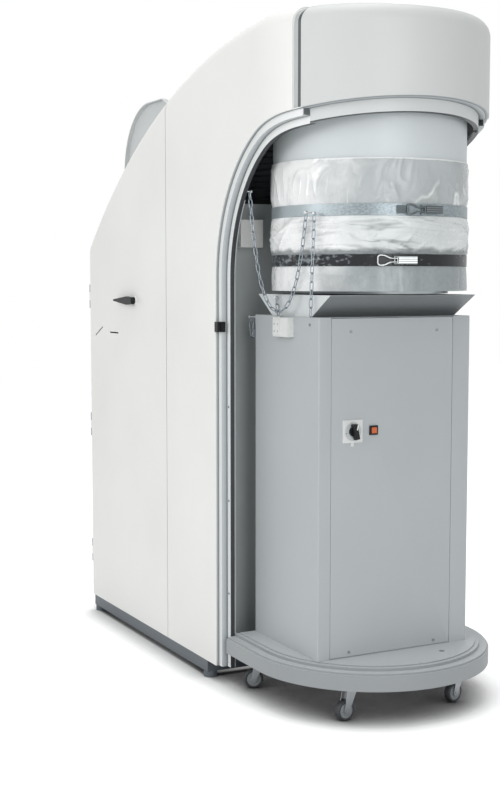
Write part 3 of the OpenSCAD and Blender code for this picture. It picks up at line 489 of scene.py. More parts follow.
@dataclass(frozen=True)
class FilmFinish(Look):
    """Plastic film with soft waves, and sharp creases painted lighter or darker than the film between them as
    painted highlights or painted shade.

    Args:
        colour: Colour of the film.
        crease_lighting: Colour painted along its creases: a painted highlight where lighter, painted shade where
            darker.
        clear: How much of it can be seen where it is flat, from 0 to 1.
        dense: The same at its creases.
        rough: Roughness.
        slant: How far the creases slant, in degrees.
        stretch: How the creases run along each axis.
        scale: Creases per metre.
        width: How wide the creases are, as a share of the pattern.
        edge: Height of a bright cut edge, or 0 for none.
        seed: Picks another part of the pattern.
        twist: How wavy the creases are.
        foot: Height below which the film lies in the shade of its own folds, or 0 for none.
    """

    colour: str
    crease_lighting: str
    clear: float = 1.0
    dense: float = 1.0
    rough: float = 0.22
    slant: float = 0.0
    stretch: Point = (1, 1, 1)
    scale: float = 8.0
    width: float = 0.03
    edge: float = 0.0
    seed: float = 0.0
    twist: float = 0.9
    foot: float = 0.0

    def pattern(self, bench: NodeBench, finer: float, twist: float) -> Socket:
        """A wavy pattern that slants as the film is pulled.

        Args:
            bench: The material's nodes.
            finer: How much finer than the creases it is.
            twist: How wavy it is.

        Returns:
            The pattern's factor.
        """
        turn = bench.add("ShaderNodeMapping", in_Vector=bench.place,
                         in_Rotation=(0, math.radians(self.slant), 0), in_Scale=self.stretch,
                         in_Location=(self.seed, 2 * self.seed, 0))
        return bench.add("ShaderNodeTexNoise", in_Vector=turn.outputs["Vector"], in_Scale=self.scale * finer,
                         in_Detail=2.0, in_Distortion=twist).outputs["Fac"]

    def build(self) -> bpy.types.Material:
        """Builds the material.

        Returns:
            The material.
        """
        bench = NodeBench(self.name)
        times = partial(bench.math, "MULTIPLY")
        most = partial(bench.math, "MAXIMUM")

        def ragged(part: Socket, amount: float, *noise_kind: object) -> Socket:
            """Adds a noise of some height to one part of the place."""
            return bench.math("ADD", part, times(bench.noise(*noise_kind), amount))

        waves = self.pattern(bench, 1.0, self.twist)
        off_middle = bench.math("ABSOLUTE", bench.math("SUBTRACT", waves, 0.5))
        line = bench.spread(off_middle, 1.0, 0.0, 0.0, self.width)
        ridge = times(line, bench.spread(self.pattern(bench, 1.3, 0.2), 0.0, 1.0, 0.46, 0.60))
        patch = bench.spread(self.pattern(bench, 1.9, 0.4), 0.0, 1.0, 0.60, 0.74)
        x, _, z = bench.split(bench.place)
        # Painted light: the film's left side, where the light from the left falls, is painted whiter and denser;
        # the cut edge at the top is whiter too
        left_light_and_edge = bench.spread(ragged(x, 0.16, 14, 4.0), 1.0, 0.0, -0.19, -0.06)
        if self.edge:
            rim = bench.spread(ragged(z, 0.006, 18, 2.0), 0.0, 0.9, self.edge - 0.001, self.edge)
            left_light_and_edge = most(left_light_and_edge, rim)
        tone = bench.tint(self.colour, 0.9, 1.05, 9, 3.0)
        # Painted light along the creases: highlights on the collar and skirt, shade on the gathered part
        tone = bench.mix(times(ridge, 0.7), tone, linear(self.crease_lighting))
        tone = bench.mix(times(left_light_and_edge, 0.8), tone, (0.91, 0.91, 0.91))
        if self.foot:
            rise = ragged(z, 0.03, 22, 3.0, (1, 1, 2))
            shaded = bench.spread(rise, 0.85, 0.0, self.foot, self.foot + 0.012)
            tone = bench.mix(shaded, tone, linear(self.crease_lighting))
        bench.surface(Base_Color=tone)
        if self.clear < 1:
            dense = most(most(ridge, left_light_and_edge), times(patch, 0.8))
            bench.surface(Alpha=bench.spread(dense, self.clear, self.dense, 0.0, 1.0))
        fine = bench.roughen(self.rough - 0.06, self.rough + 0.1, 60, 2.0)
        bench.bump(bench.math("ADD", times(waves, 8.0), times(fine, 0.4)), 0.002)
        return bench.material


@dataclass(frozen=True)
class WornAndLitFinish(Look):
    """Metal that is mottled, with patches bright from wear, and more bright patches towards its left end as a
    painted highlight.

    Args:
        dark: Colour of the sound surface.
        bright: Colour of the bright patches, from wear and from the painted highlight.
        start: Share of the pattern where wear begins.
        end: Share of the pattern where it is complete.
        rough: Roughness.
        metal: Metallic share.
        scale: Patches per metre.
        left_highlight: Painted highlight: how many more bright patches the left end gets where the light from the
            left falls.
        tab: Middle of the band's ribbed end, which is darker.
        tab_half: Half of that end's size along each axis.
    """

    dark: str
    bright: str
    start: float
    end: float
    rough: float
    metal: float
    scale: float = 30.0
    left_highlight: float = 0.0
    tab: Point = (0, 0, 0)
    tab_half: Point = (0.0128, 0.04, 0.0122)

    def build(self) -> bpy.types.Material:
        """Builds the material.

        Returns:
            The material.
        """
        bench = NodeBench(self.name)
        patch = bench.noise(self.scale, 6.0, (1, 1, 1.6))
        # Painted highlight: more bright patches towards the left end, where the light from the left falls
        if self.left_highlight:
            left_lit = bench.spread(bench.split(bench.place)[0], self.left_highlight, 0.0, -0.25, -0.16)
            patch = bench.math("ADD", patch, left_lit)
        wear_and_highlight_share = bench.spread(patch, 0.0, 1.0, self.start, self.end)
        tone = bench.mix(wear_and_highlight_share, linear(self.dark), linear(self.bright))
        away = bench.vector("ABSOLUTE", bench.vector("SUBTRACT", bench.place, self.tab))
        x, y, z = bench.split(bench.vector("DIVIDE", away, self.tab_half))
        most = bench.math("MAXIMUM", bench.math("MAXIMUM", x, y), z)
        tone = bench.mix(bench.spread(most, 1.0, 0.0, 0.98, 1.02), tone, shade(linear(self.dark), 0.4))
        bench.surface(Base_Color=tone, Metallic=self.metal)
        return bench.grained(Grain.WORN, self.rough - 0.06, self.rough + 0.1)


def ribbed(name: str, height: float, plate: str, ribs: str) -> LitAndShadedPaint:
    """Makes the finish of a latch lever, with painted highlights on its ribs, paler than the darker plate.

    Args:
        name: The finish's name.
        height: Height of its middle.
        plate: Colour of the plate.
        ribs: Colour of the painted highlights on the ribs.

    Returns:
        The finish.
    """
    half_rib = 0.0011
    # Painted highlight: a pale strip on each rib
    strips = tuple((2, height + at - half_rib, height + at + half_rib, ribs) for at in (-0.006, 0, 0.006))
    return LitAndShadedPaint(name, plate, strips=strips, rough=0.35, metal=0.5)


# The finishes of the record's slots, then those of single pieces
LOOKS: tuple[Look, ...] = (
    Finish("painted_frame", "#5B6268", 0.5),
    Finish("body_paint", "#E9E9E6", 0.42),
    # cap_paint: the body's white painted greyer, as painted shade on the front-facing hood cap
    Finish("cap_paint", "#CACCCB", 0.45),
    Finish("steel_grey", "#9A9DA0", 0.35, 0.9, Grain.BRUSHED),
    Finish("black_plastic", "#141517", 0.4, grain=Grain.MOULDED, shine=0.25),
    Finish("inner_paint", "#ACB1B1", 0.45),
    Finish("pale_plastic", "#D6D8D6", 0.45, grain=Grain.MOULDED),
    Finish("duct_rubber", "#5A5E62", 0.6, grain=Grain.MOULDED),
    Finish("grey_paint", "#AFB4B6", 0.45),
    Finish("tool_steel", "#7F8387", 0.35, 0.95, Grain.BRUSHED),
    Finish("motor_paint", "#44586B", 0.45),
    Finish("film", "#E8ECEE", 0.2, grain=Grain.SMOOTH),
    Finish("zinc_band", "#8E979E", 0.3, 0.85, Grain.BRUSHED),
    Finish("black_band", "#2A2D30", 0.35, 0.3),
    Finish("lamp_lens", "#C8602C", 0.2, grain=Grain.SMOOTH),
    Finish("platform_plastic", "#A6AAAC", 0.5, grain=Grain.MOULDED),
    Finish("wheel_tyre", "#3A3D40", 0.6, grain=Grain.MOULDED),
    MouldingShadePaint("moulding", "#E4E6E5"),
    # lip: the moulding's paint painted greyer, as painted shade on the front-facing lip under the hood
    MouldingShadePaint("lip", "#CDD0D0"),
    # arm_paint: a grey strip of painted shade in the recessed groove at the hood cap's joint, and a dark strip for
    # the joint's gap with the painted shadow in it
    LitAndShadedPaint("arm_paint", "#E9E9E6",
               strips=((1, -0.6775, -0.6655, "#ABAFAF"), (1, -0.8, -0.6775, "#46494A"))),
    # hopper_paint: faces towards the left painted lighter where the side light falls, and the front underside
    # painted dark as shade
    LitAndShadedPaint("hopper_paint", "#AFB4B6", (((-1, 0, 0), "#D3D7D8"), ((0, -0.52, -0.85), "#787C7E"))),
    # base_paint: the platform's top painted lighter as painted light from above, and its sides painted darker than
    # the platform's plastic as shade
    LitAndShadedPaint("base_paint", "#969A9C", (((0, 0, 1), "#C0C4C6"),), rough=0.5),
    # Levers with painted highlights on their ribs
    ribbed("upper_lever", UPPER_BAND, "#53595C", "#7B8184"),
    ribbed("lower_lever", LOWER_BAND, "#84898B", "#E6E8E8"),
    Finish("upper_bail", "#6A7073", 0.3, 0.7, Grain.SMOOTH),
    Finish("lower_bail", "#C9CDCE", 0.3, 0.6, Grain.SMOOTH),
    FilmFinish("film_collar", "#D3D8D9", "#F6F8F8", 0.45, 0.95, 0.14, 38, (1, 1, 0.8), 7.0, 0.035, 1.652,
               0.81, 0.25),
    FilmFinish("film_gather", "#D9DDDD", "#6E7577", rough=0.30, slant=22, stretch=(0.45, 0.7, 2.6), width=0.06,
               foot=1.399),
    # film_skirt: painted grey as the shade on the drum below the lower band, seen through the clear film
    FilmFinish("film_skirt", "#9BA3A5", "#BCC2C4", 0.90, 0.97, 0.28, 8, (1, 1, 0.25), 6.0, 0.02),
    WornAndLitFinish("band_zinc", "#7A858A", "#A0AAAE", 0.35, 0.75, 0.36, 0.55, 130, 0.3,
               (-0.0539, -0.7921, UPPER_BAND)),
    WornAndLitFinish("band_black", "#1B1E21", "#80868A", 0.62, 0.80, 0.32, 0.4, 55, 0.16),
    Finish("box_white", "#F6F6F4", 0.45, grain=Grain.MOULDED),
    Finish("drum_steel", "#C9CFD1", 0.5, 0.1, Grain.SMOOTH),
    Finish("dial_grey", "#BDC2C3", 0.45, grain=Grain.MOULDED),
    Finish("hub_grey", "#8B9092", 0.45, grain=Grain.MOULDED),
    Finish("cheek_paint", "#C9CCCC", 0.45),
    # wall_paint: inner_paint lightened, as painted light on the recessed inner front wall
    Finish("wall_paint", "#BDC2C2", 0.45),
    Finish("mark_white", "#E8E8E6", 0.5, grain=Grain.SMOOTH),
)


# ---------------------------------------------------------------- studio


def linked(name: str, data: bpy.types.ID) -> bpy.types.Object:
    """Makes an object of a mesh, a lamp or a camera and adds it to the scene.

    Args:
        name: The object's name.
        data: The mesh, lamp or camera.

    Returns:
        The object.
    """
    obj = bpy.data.objects.new(name, data)
    bpy.context.collection.objects.link(obj)
    return obj


def meshed(name: str, shape: Shape) -> bpy.types.Mesh:
    """Makes a mesh of points and faces.

    Args:
        name: The mesh's name.
        shape: The points and faces.

    Returns:
        The mesh.
    """
    mesh = bpy.data.meshes.new(name)
    mesh.from_pydata([tuple(v) for v in shape[0]], [], shape[1])
    return mesh


@dataclass
class Studio:
    """The floor, the soft lamps and the camera.

    Args:
        eye: The camera's place.
        turn: The camera's heading, in degrees from +Y towards +X.
        dip: How far the camera looks down, in degrees.
        lens: Focal length in millimetres on a sensor of 36 mm.
        floor_half: Half of the floor's side.
        floor_colour: Colour of the open floor.
        floor_shade: Its colour close to where something stands.
        shade_reach: How far around that the floor is darker.
        floor_glow: Light that the floor adds towards the viewer, so that it stays white.
    """

    eye: Point = (-2.220, -4.057, 1.31)
    turn: float = 27.2
    dip: float = 5.03
    lens: float = 61.15
    floor_half: float = 12.0
    floor_colour: Point = (0.94, 0.94, 0.94)
    floor_shade: Point = (0.03, 0.03, 0.035)
    shade_reach: float = 0.21
    floor_glow: float = 0.56

    def camera(self) -> None:
        """Sets up the camera."""
        data = bpy.data.cameras.new("camera")
        data.lens = self.lens
        data.sensor_width = 36
        data.clip_end = 100
        eye = linked("camera", data)
        eye.location = self.eye
        eye.rotation_euler = (math.radians(90 - self.dip), 0, math.radians(-self.turn))
        bpy.context.scene.camera = eye

    def lamp(self, name: str, place: Point, aim: Point, size: float, power: float) -> None:
        """Adds one soft area lamp.

        Args:
            name: The lamp's name.
            place: Where it stands.
            aim: The point it faces.
            size: Side of the square lamp.
            power: Watts.
        """
        data = bpy.data.lights.new(name, "AREA")
        data.size = size
        data.energy = power
        lamp = linked(name, data)
        lamp.location = place
        lamp.rotation_euler = (Vector(aim) - Vector(place)).to_track_quat("-Z", "Y").to_euler()

    def lights(self) -> None:
        """Adds the lamps and the world's even light."""
        self.lamp("key", (-4.5, -2.5, 3.6), aim=(0, 0, 1.0), size=3.0, power=62)
        self.lamp("side", (-4.6, -0.2, 2.3), aim=(0, -0.4, 1.3), size=1.2, power=31)
        self.lamp("front", (-0.9, -6.2, 2.1), aim=(0, -0.5, 1.1), size=2.6, power=86)
        self.lamp("top", (0.0, 0.0, 6.0), aim=(0, 0, 1.0), size=3.5, power=105)
        world = bpy.data.worlds.new("studio")
        bpy.context.scene.world = world
        world.use_nodes = True
        tree = Tree(world.node_tree)
        soft = tree.add("ShaderNodeBackground", in_Color=(0.97, 0.99, 1), in_Strength=0.45)
        white = tree.add("ShaderNodeBackground", in_Color=(1, 1, 1), in_Strength=1.0)
        mix = tree.add("ShaderNodeMixShader", tree.seen_directly(), soft.outputs[0], white.outputs[0])
        tree.add("ShaderNodeOutputWorld", mix.outputs[0])

    def floor(self) -> None:
        """Adds the pale floor, with a painted contact shadow that darkens it where something stands near it."""
        half = self.floor_half
        square = [(-half, -half, 0), (half, -half, 0), (half, half, 0), (-half, half, 0)]
        floor = linked("floor", meshed("floor", (square, [(0, 1, 2, 3)])))
        bench = NodeBench("floor")
        # Painted contact shadow: occlusion darkens the floor's colour and glow near the machine
        near = bench.add("ShaderNodeAmbientOcclusion", samples=12, in_Distance=self.shade_reach).outputs["AO"]
        open_sky = bench.spread(near, 0.0, 1.0, 0.30, 0.88)
        bench.surface(Base_Color=bench.mix(open_sky, self.floor_shade, self.floor_colour), Roughness=0.9)
        plain = bench.shader.outputs["BSDF"]
        glow = bench.add("ShaderNodeEmission", in_Strength=bench.math("MULTIPLY", open_sky, self.floor_glow))
        both = bench.add("ShaderNodeAddShader", plain, glow.outputs["Emission"])
        mix = bench.add("ShaderNodeMixShader", bench.seen_directly(), plain, both.outputs[0])
        bench.put(bench.out.inputs["Surface"], mix.outputs[0])
        floor.data.materials.append(bench.material)

    def build(self) -> None:
        """Builds the whole studio."""
        bpy.context.scene.view_settings.view_transform = "Standard"
        self.camera()
        self.lights()
        self.floor()


# ---------------------------------------------------------------- making pieces


@contextmanager
def edited(mesh: bpy.types.Mesh) -> Iterator[bmesh.types.BMesh]:
    """Opens a mesh for editing and writes it back at the end.

    Args:
        mesh: The mesh.

    Yields:
        The open mesh.
    """
    work = bmesh.new()
    work.from_mesh(mesh)
    yield work
    work.to_mesh(mesh)
    work.free()


def baked(obj: bpy.types.Object) -> bpy.types.Mesh:
    """Gives the plain mesh that an object's modifiers make, and takes them off.

    Args:
        obj: The object.

    Returns:
        The plain mesh.
    """
    mesh = bpy.data.meshes.new_from_object(obj.evaluated_get(bpy.context.evaluated_depsgraph_get()))
    obj.modifiers.clear()
    return mesh


def smooth(mesh: bpy.types.Mesh, sharp: float) -> None:
    """Shades a mesh smooth but for edges above an angle in degrees."""
    mesh.shade_smooth()
    mesh.set_sharp_from_angle(angle=math.radians(sharp))


def body_of(node: str) -> str:
    """Gives the CAD body that a node belongs to.

    Args:
        node: The CAD node.

    Returns:
        The body's name.
    """
    for body, nodes in frame["record"]["behaviour"]["bodies"].items():
        if node in nodes:
            return body
    raise KeyError(node)


class Piece:
    """Turns shapes into finished pieces that ride on a body."""

    def __init__(self, materials: dict[str, bpy.types.Material]) -> None:
        """Keeps the finished materials.

        Args:
            materials: The materials by name.
        """
        self.materials = materials

    def finish(self, obj: bpy.types.Object, body: str, slot: str, stands_for: Sequence[str],
               paint: str) -> bpy.types.Object:
        """Gives a piece its material and body, and hides the CAD nodes that it stands for.

        Args:
            obj: The piece.
            body: The CAD body that it rides on.
            slot: The record's material slot.
            stands_for: CAD nodes that it replaces.
            paint: Name of its own finish, if it has one other than its slot's.

        Returns:
            The piece.
        """
        if not obj.data.materials:
            obj.data.materials.append(self.materials[paint or slot])
        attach(obj, body)
        if stands_for:
            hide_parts(*stands_for)
        LOG.info("%s: %d faces on %s", obj.name, len(obj.data.polygons), body)
        return obj

    def add(self, name: str, shape: Shape | bpy.types.Mesh, slot: str, stands_for: Sequence[str] = (),
            sharp: float = 40, paint: str = "", body: str = "machine") -> bpy.types.Object:
        """Makes a piece from a shape.

        Args:
            name: The piece's name.
            shape: Its points and faces, or its mesh.
            slot: The record's material slot.
            stands_for: CAD nodes that it replaces.
            sharp: Angle in degrees above which an edge stays sharp.
            paint: Name of its own finish, if it has one.
            body: The CAD body that it rides on.

        Returns:
            The piece.
        """
        mesh = meshed(name, shape) if isinstance(shape, tuple) else shape
        with edited(mesh) as work:
            bmesh.ops.remove_doubles(work, verts=work.verts, dist=WELD)
            bmesh.ops.recalc_face_normals(work, faces=work.faces)
        smooth(mesh, sharp)
        return self.finish(linked(name, mesh), body, slot, stands_for, paint)

    def from_node(self, name: str, node: str, slot: str, sharp: float, paint: str) -> bpy.types.Object:
        """Makes a smooth copy of a CAD node that stands for it.

        Args:
            name: The piece's name.
            node: The CAD node.
            slot: The record's material slot.
            sharp: Angle in degrees above which an edge stays sharp.
            paint: Name of its own finish, if it has one.

        Returns:
            The piece.
        """
        same_plane = math.radians(0.2)
        mesh = frame["nodes"][node].data.copy()
        mesh.name = name
        mesh.materials.clear()
        with edited(mesh) as work:
            bmesh.ops.remove_doubles(work, verts=work.verts, dist=2 * WELD)
            bmesh.ops.dissolve_degenerate(work, edges=work.edges, dist=WELD)
            bmesh.ops.dissolve_limit(work, angle_limit=same_plane, verts=work.verts, edges=work.edges)
        stored = mesh.attributes.get("custom_normal")
        if stored:
            mesh.attributes.remove(stored)
        smooth(mesh, sharp)
        obj = linked(name, mesh)
        obj.modifiers.new("weighted", "WEIGHTED_NORMAL").keep_sharp = True
        obj.data = baked(obj)
        return self.finish(obj, body_of(node), slot, (node,), paint)


@dataclass
class Part:
    """Something that is made of one or more pieces."""

    def build(self, piece: Piece) -> None:
        """Builds its pieces.

        Args:
            piece: The maker of pieces.
        """
        raise NotImplementedError


# ---------------------------------------------------------------- plain shapes


def circle(steps: int) -> list[float]:
    """Gives the angles of equal steps once around."""
    return [2 * math.pi * k / steps for k in range(steps)]


def loft(loops: Sequence[Sequence[Point]], ring: bool = False, caps: bool = True) -> Shape:
    """Joins loops of equal length into a skin.

    Args:
        loops: The loops, in order.
        ring: Whether the last loop joins the first.
        caps: Whether the ends are closed with a face, where there are ends.

    Returns:
        The points and faces.
    """
    size, rows = len(loops[0]), len(loops)
    faces = [(r * size + c, r * size + (c + 1) % size, (r + 1) % rows * size + (c + 1) % size,
              (r + 1) % rows * size + c) for r in range(rows if ring else rows - 1) for c in range(size)]
    if caps and not ring:
        faces += [tuple(reversed(range(size))), tuple(range((rows - 1) * size, rows * size))]
    return [p for loop in loops for p in loop], faces


def spun(profile: Sequence[tuple[float, float]], steps: int, centre: Point = (0, 0, 0), axis: str = "Z",
         closed: bool = True) -> Shape:
    """Turns a profile of radius and height once around an axis.

    Args:
        profile: Pairs of radius and distance along the axis.
        steps: Points around.
        centre: The point on the axis where the distance is 0.
        axis: "Y" or "Z".
        closed: Whether the profile's end joins its start.

    Returns:
        The points and faces.
    """
    cx, cy, cz = centre
    if axis == "Z":
        loops = [[(cx + r * math.cos(a), cy + r * math.sin(a), cz + h) for a in circle(steps)]
                 for r, h in profile]
    else:
        loops = [[(cx + r * math.cos(a), cy + h, cz + r * math.sin(a)) for a in circle(steps)]
                 for r, h in profile]
    return loft(loops, closed, False)


def joined(*parts: Shape) -> Shape:
    """Joins lists of points and faces into one.

    Args:
        *parts: The shapes.

    Returns:
        All their points and faces.
    """
    verts: list[Point] = []
    faces: list[tuple[int, ...]] = []
    for points, sides in parts:
        faces += [tuple(len(verts) + k for k in side) for side in sides]
        verts += points
    return verts, faces


def box_part(low: Point, high: Point) -> Shape:
    """A plain box between two corners, used inside larger pieces."""
    verts = [(x, y, z) for z in (low[2], high[2]) for y in (low[1], high[1]) for x in (low[0], high[0])]
    return verts, [(0, 2, 3, 1), (4, 5, 7, 6), (0, 1, 5, 4), (1, 3, 7, 5), (3, 2, 6, 7), (2, 0, 4, 6)]


def rounded_plate(width: float, height: float, radius: float, steps: int = 6) -> list[tuple[float, float]]:
    """Outline of a rectangle with round corners, counter-clockwise about its middle.

    Args:
        width: Full width.
        height: Full height.
        radius: Corner radius.
        steps: Segments of each corner.

    Returns:
        The outline's points.
    """
    corners = ((1, 1, 0), (-1, 1, 90), (-1, -1, 180), (1, -1, 270))
    return [(sx * (width / 2 - radius) + radius * math.cos(a),
             sy * (height / 2 - radius) + radius * math.sin(a))
            for sx, sy, start in corners
            for a in (math.radians(start + 90 * k / steps) for k in range(steps + 1))]


def front_plate(centre: Point, width: float, height: float, thick: float, corner: float, soft: float) -> Shape:
    """A plate that faces forward, with round corners and a softened front edge.

    Args:
        centre: Middle of the plate's rear face.
        width: Width.
        height: Height.
        thick: Thickness.
        corner: Corner radius.
        soft: Radius of the front edge.

    Returns:
        The points and faces.
    """
    def loop(inset: float, depth: float) -> list[Point]:
        """Gives the outline at an inset and a distance in front of the rear face."""
        outline = rounded_plate(width - 2 * inset, height - 2 * inset, max(corner - inset, 0.0003))
        return [(centre[0] + u, centre[1] - depth, centre[2] + v) for u, v in outline]

    turns = [math.radians(a) for a in (0, 30, 60, 90)]
    edge = [loop(soft * (1 - math.cos(a)), thick - soft + soft * math.sin(a)) for a in turns]
    return loft([loop(0, 0), *edge])


def turned_bar(middle: Point, turn: float, length: float, width: float, thick: float) -> Shape:
    """A small flat bar on a forward-facing surface.

    Args:
        middle: Middle of its rear face.
        turn: Its turn away from upright towards +X, in radians.
        length: Length.
        width: Width.
        thick: Thickness.

    Returns:
        The points and faces.
    """
    u, v = math.sin(turn), math.cos(turn)
    corners = [(sx * length / 2, sy * width / 2) for sx, sy in ((1, 1), (-1, 1), (-1, -1), (1, -1))]
    return loft([[(middle[0] + a * u - b * v, middle[1] - d, middle[2] + a * v + b * u) for a, b in corners]
                 for d in (0, thick)])


def cut(mesh: bpy.types.Mesh, *tools: Shape) -> None:
    """Cuts closed shapes out of a mesh.

    Args:
        mesh: The mesh that is cut, in place.
        *tools: The shapes.
    """
    work = linked("cut_work", mesh)
    for shape in tools:
        data = meshed("cut_tool", shape)
        with edited(data) as turned:
            bmesh.ops.recalc_face_normals(turned, faces=turned.faces)
        tool = linked("cut_tool", data)
        modifier = work.modifiers.new("cut", "BOOLEAN")
        modifier.object = tool
        modifier.operation = "DIFFERENCE"
        modifier.solver = "EXACT"
        result = baked(work)
        with edited(mesh) as target:
            target.clear()
            target.from_mesh(result)
        bpy.data.meshes.remove(result)
        bpy.data.objects.remove(tool)
    bpy.data.objects.remove(work)


# ---------------------------------------------------------------- film


@dataclass(frozen=True)
class Fold:
    """One layer of folds, which closes round the drum.

    Args:
        height: How far it stands out.
        around: Folds per radian or so.
        up: Folds per metre of height.
        rise: How steeply the folds rise to the right at the drum's front left.
        seed: Picks one of many patterns.
        bend: How much of the sleeve's bend it follows.
        sharp: How sharp its ridges are, or 0 for soft waves.
        fade: How fast it fades from the sleeve's root to its tip, or 0 for not at all.
        base: What is added to the waves so that they stand outwards.
    """

    height: float
    around: float
    up: float
    rise: float
    seed: float
    bend: float = 0.0
    sharp: float = 0.0
    fade: int = 0
    base: float = 1.0

    def wave(self, a: float, z: float) -> float:
        """A pattern from about -1 to 1 at an angle and a height.

        Args:
            a: Angle around the drum.
            z: Height.

        Returns:
            The pattern's value.
        """
        level = z - self.rise * FILM_RADIUS * math.sin(a - FRONT_LEFT)
        across, along = self.around * math.cos(a), self.around * math.sin(a)
        return noise.noise((across, along + self.seed, self.up * level + self.seed * 3.7))

    def reach(self, a: float, z: float, v: float) -> float:
        """How far it stands out.

        Args:
            a: Angle around the drum.
            z: Height.
            v: Share of the way from the sleeve's root to its tip.

        Returns:
            The distance.
        """
        wave = self.wave(a, z)
        form = max(0.0, 1 - self.sharp * abs(wave)) ** 1.5 if self.sharp else self.base + wave
        return self.height * form * (1 - v) ** self.fade


@dataclass
class Sleeve(Part):
    """One sleeve of the bag film, which a band holds.

    Args:
        name: The piece's name.
        node: The CAD node that it replaces.
        low: Height of its lower edge.
        high: Height of its upper edge.
        root: Height where its folds begin.
        tip: Height where they end.
        held: How the film is held; not used.
        ease: Share of the folds' height at a share of the way from root to tip.
        bend: The wave that bends the folds sideways.
        folds: The folds.
        lift: How far the film stands out besides its folds.
        loose: How far it stands out from the root on.
        rows: Rows of points on the outer side.
        columns: Points around it.
        wall: Thickness of the skin.
    """

    name: str
    node: str
    low: float
    high: float
    root: float
    tip: float
    held: str
    ease: Callable[[float], float]
    bend: Fold
    folds: tuple[Fold, ...]
    lift: float = 0.0
    loose: float = 0.0
    rows: int = 90
    columns: int = 900
    wall: float = 0.0016

    def swell(self, a: float, z: float) -> float:
        """How far the sleeve stands out.

        Args:
            a: Angle around the drum.
            z: Height.

        Returns:
            The distance.
        """
        v = (z - self.root) / (self.tip - self.root)
        if v < 0:
            return 0.0
        bend = self.bend.height * self.bend.wave(a, z)
        folds = sum(fold.reach(a + fold.bend * bend, z, v) for fold in self.folds)
        return max(0.0, self.ease(v) * (self.lift + folds) + self.loose)

    def build(self, piece: Piece) -> None:
        """Args:
            piece: The maker of pieces.
        """
        low, high, held = self.low, self.high, self.held
        outer, inner = [], []
        for z in (low + (high - low) * r / (self.rows - 1) for r in range(self.rows)):
            reach = [(a, FILM_RADIUS + self.swell(a, z)) for a in circle(self.columns)]
            for side, thick in ((outer, self.wall), (inner, 0.0)):
                side.append([(DRUM_X + (r + thick) * math.cos(a), DRUM_Y + (r + thick) * math.sin(a), z)
                             for a, r in reach])
        skin = loft(outer + inner[::-1], ring=True)
        sleeve = piece.add(self.name, skin, "film", (self.node,), 60, self.node)


def film(top: float = 1.652, bottom: float = 1.268, half_band: float = 0.017,
         gap: float = 0.0003) -> list[Sleeve]:
    """Plans the bag film that the two bands clamp round the drum.

    Args:
        top: Upper edge of the film.
        bottom: Lower edge of its skirt.
        half_band: Half of a band's height.
        gap: Room between a band and the film that is gathered between the bands.

    Returns:
        The clear collar, the gathered part and the skirt.
    """
    above, between = UPPER_BAND + half_band, (LOWER_BAND + half_band, UPPER_BAND - half_band)
    # The collar swells within a fifth of its height and closes in a little at its top
    # The gathered part bellies out
    collar = Sleeve(
        "film_sleeve_upper", "film_collar", UPPER_BAND - half_band, top, above, top, "stretched",
        lambda v: min(1.0, v * 5) * (0.45 + 0.55 * min(1.0, (1 - v) * 8)), Fold(0.35, 3.0, 7, 0.0, 4.0),
        (Fold(0.0026, 3.4, 9, 0.5, 1.0, bend=1), Fold(0.0022, 3.2, 7, 0.9, 2.0, bend=1, sharp=5.0),
         Fold(0.0020, 9.0, 3, 0.0, 9.0, bend=-0.5, sharp=4.0, fade=1)), loose=0.0004)
    gather = Sleeve(
        "film_sleeve_gathered", "film_gather", between[0] + gap, between[1] - gap, *between, "gathered",
        lambda v: math.sin(math.pi * min(1.0, v)) ** 0.6, Fold(0.25, 2.5, 8, 0.0, 14.0),
        (Fold(0.0040, 2.2, 15, 0.42, 11.0, bend=1), Fold(0.0040, 1.9, 17, 0.45, 12.0, bend=1, sharp=4.0),
         Fold(0.0022, 3.6, 24, 0.30, 16.0, bend=-1, sharp=4.0),
         Fold(0.0012, 6.5, 34, 0.2, 13.0, bend=-1, sharp=5.0),
         Fold(0.0012, 26.0, 30, 0.3, 15.0, fade=2, base=0)), lift=0.0010)
    skirt = Sleeve(
        "film_sleeve_lower", "film_skirt", bottom, between[0], LOWER_BAND - half_band, bottom, "stretched",
        lambda v: min(1.0, v * 3), Fold(0.2, 3.0, 6, 0, 23.0),
        (Fold(0.0014, 8.0, 2, 0.0, 21.0), Fold(0.0016, 2.6, 4, 0.8, 22.0, bend=1, sharp=5.0)), rows=50)
    return [collar, gather, skirt]


# ---------------------------------------------------------------- chains and bails


def repeated(name: str, spots: Sequence[tuple[Vector, Vector]], item: bpy.types.Object,
             material: bpy.types.Material) -> bpy.types.Mesh:
    """Repeats an item at given places and turns with a node tree.

    Args:
        name: Name of the resulting mesh.
        spots: Pairs of place and Euler turn.
        item: The repeated item.
        material: Its material.

    Returns:
        The plain mesh of all copies.
    """
    base = meshed(name, ([place for place, _ in spots], []))
    turns = base.attributes.new("turn", "FLOAT_VECTOR", "POINT")
    turns.data.foreach_set("vector", [v for _, turn in spots for v in turn])
    tree = GrowTree(name + "_repeat", Item="Object", Scale=1.0)
    shape = tree.add("GeometryNodeObjectInfo", in_Object=tree.ins["Item"]).outputs["Geometry"]
    turn = tree.add("GeometryNodeInputNamedAttribute", data_type="FLOAT_VECTOR", in_Name="turn")
    aim = tree.add("FunctionNodeEulerToRotation", turn.outputs["Attribute"])
    put = tree.add("GeometryNodeInstanceOnPoints", in_Points=tree.ins["Geometry"], in_Instance=shape,
                   in_Rotation=aim.outputs["Rotation"], in_Scale=tree.ins["Scale"])
    return tree.run(linked(name, base), put.outputs["Instances"], Item=item, Material=material)


def beside_drum(turn: float, reach: float, z: float) -> Point:
    """A point at a distance from the drum's axis, at a turn in degrees to the left of the drum's front."""
    a = math.radians(turn)
    return DRUM_X - reach * math.sin(a), DRUM_Y - reach * math.cos(a), z


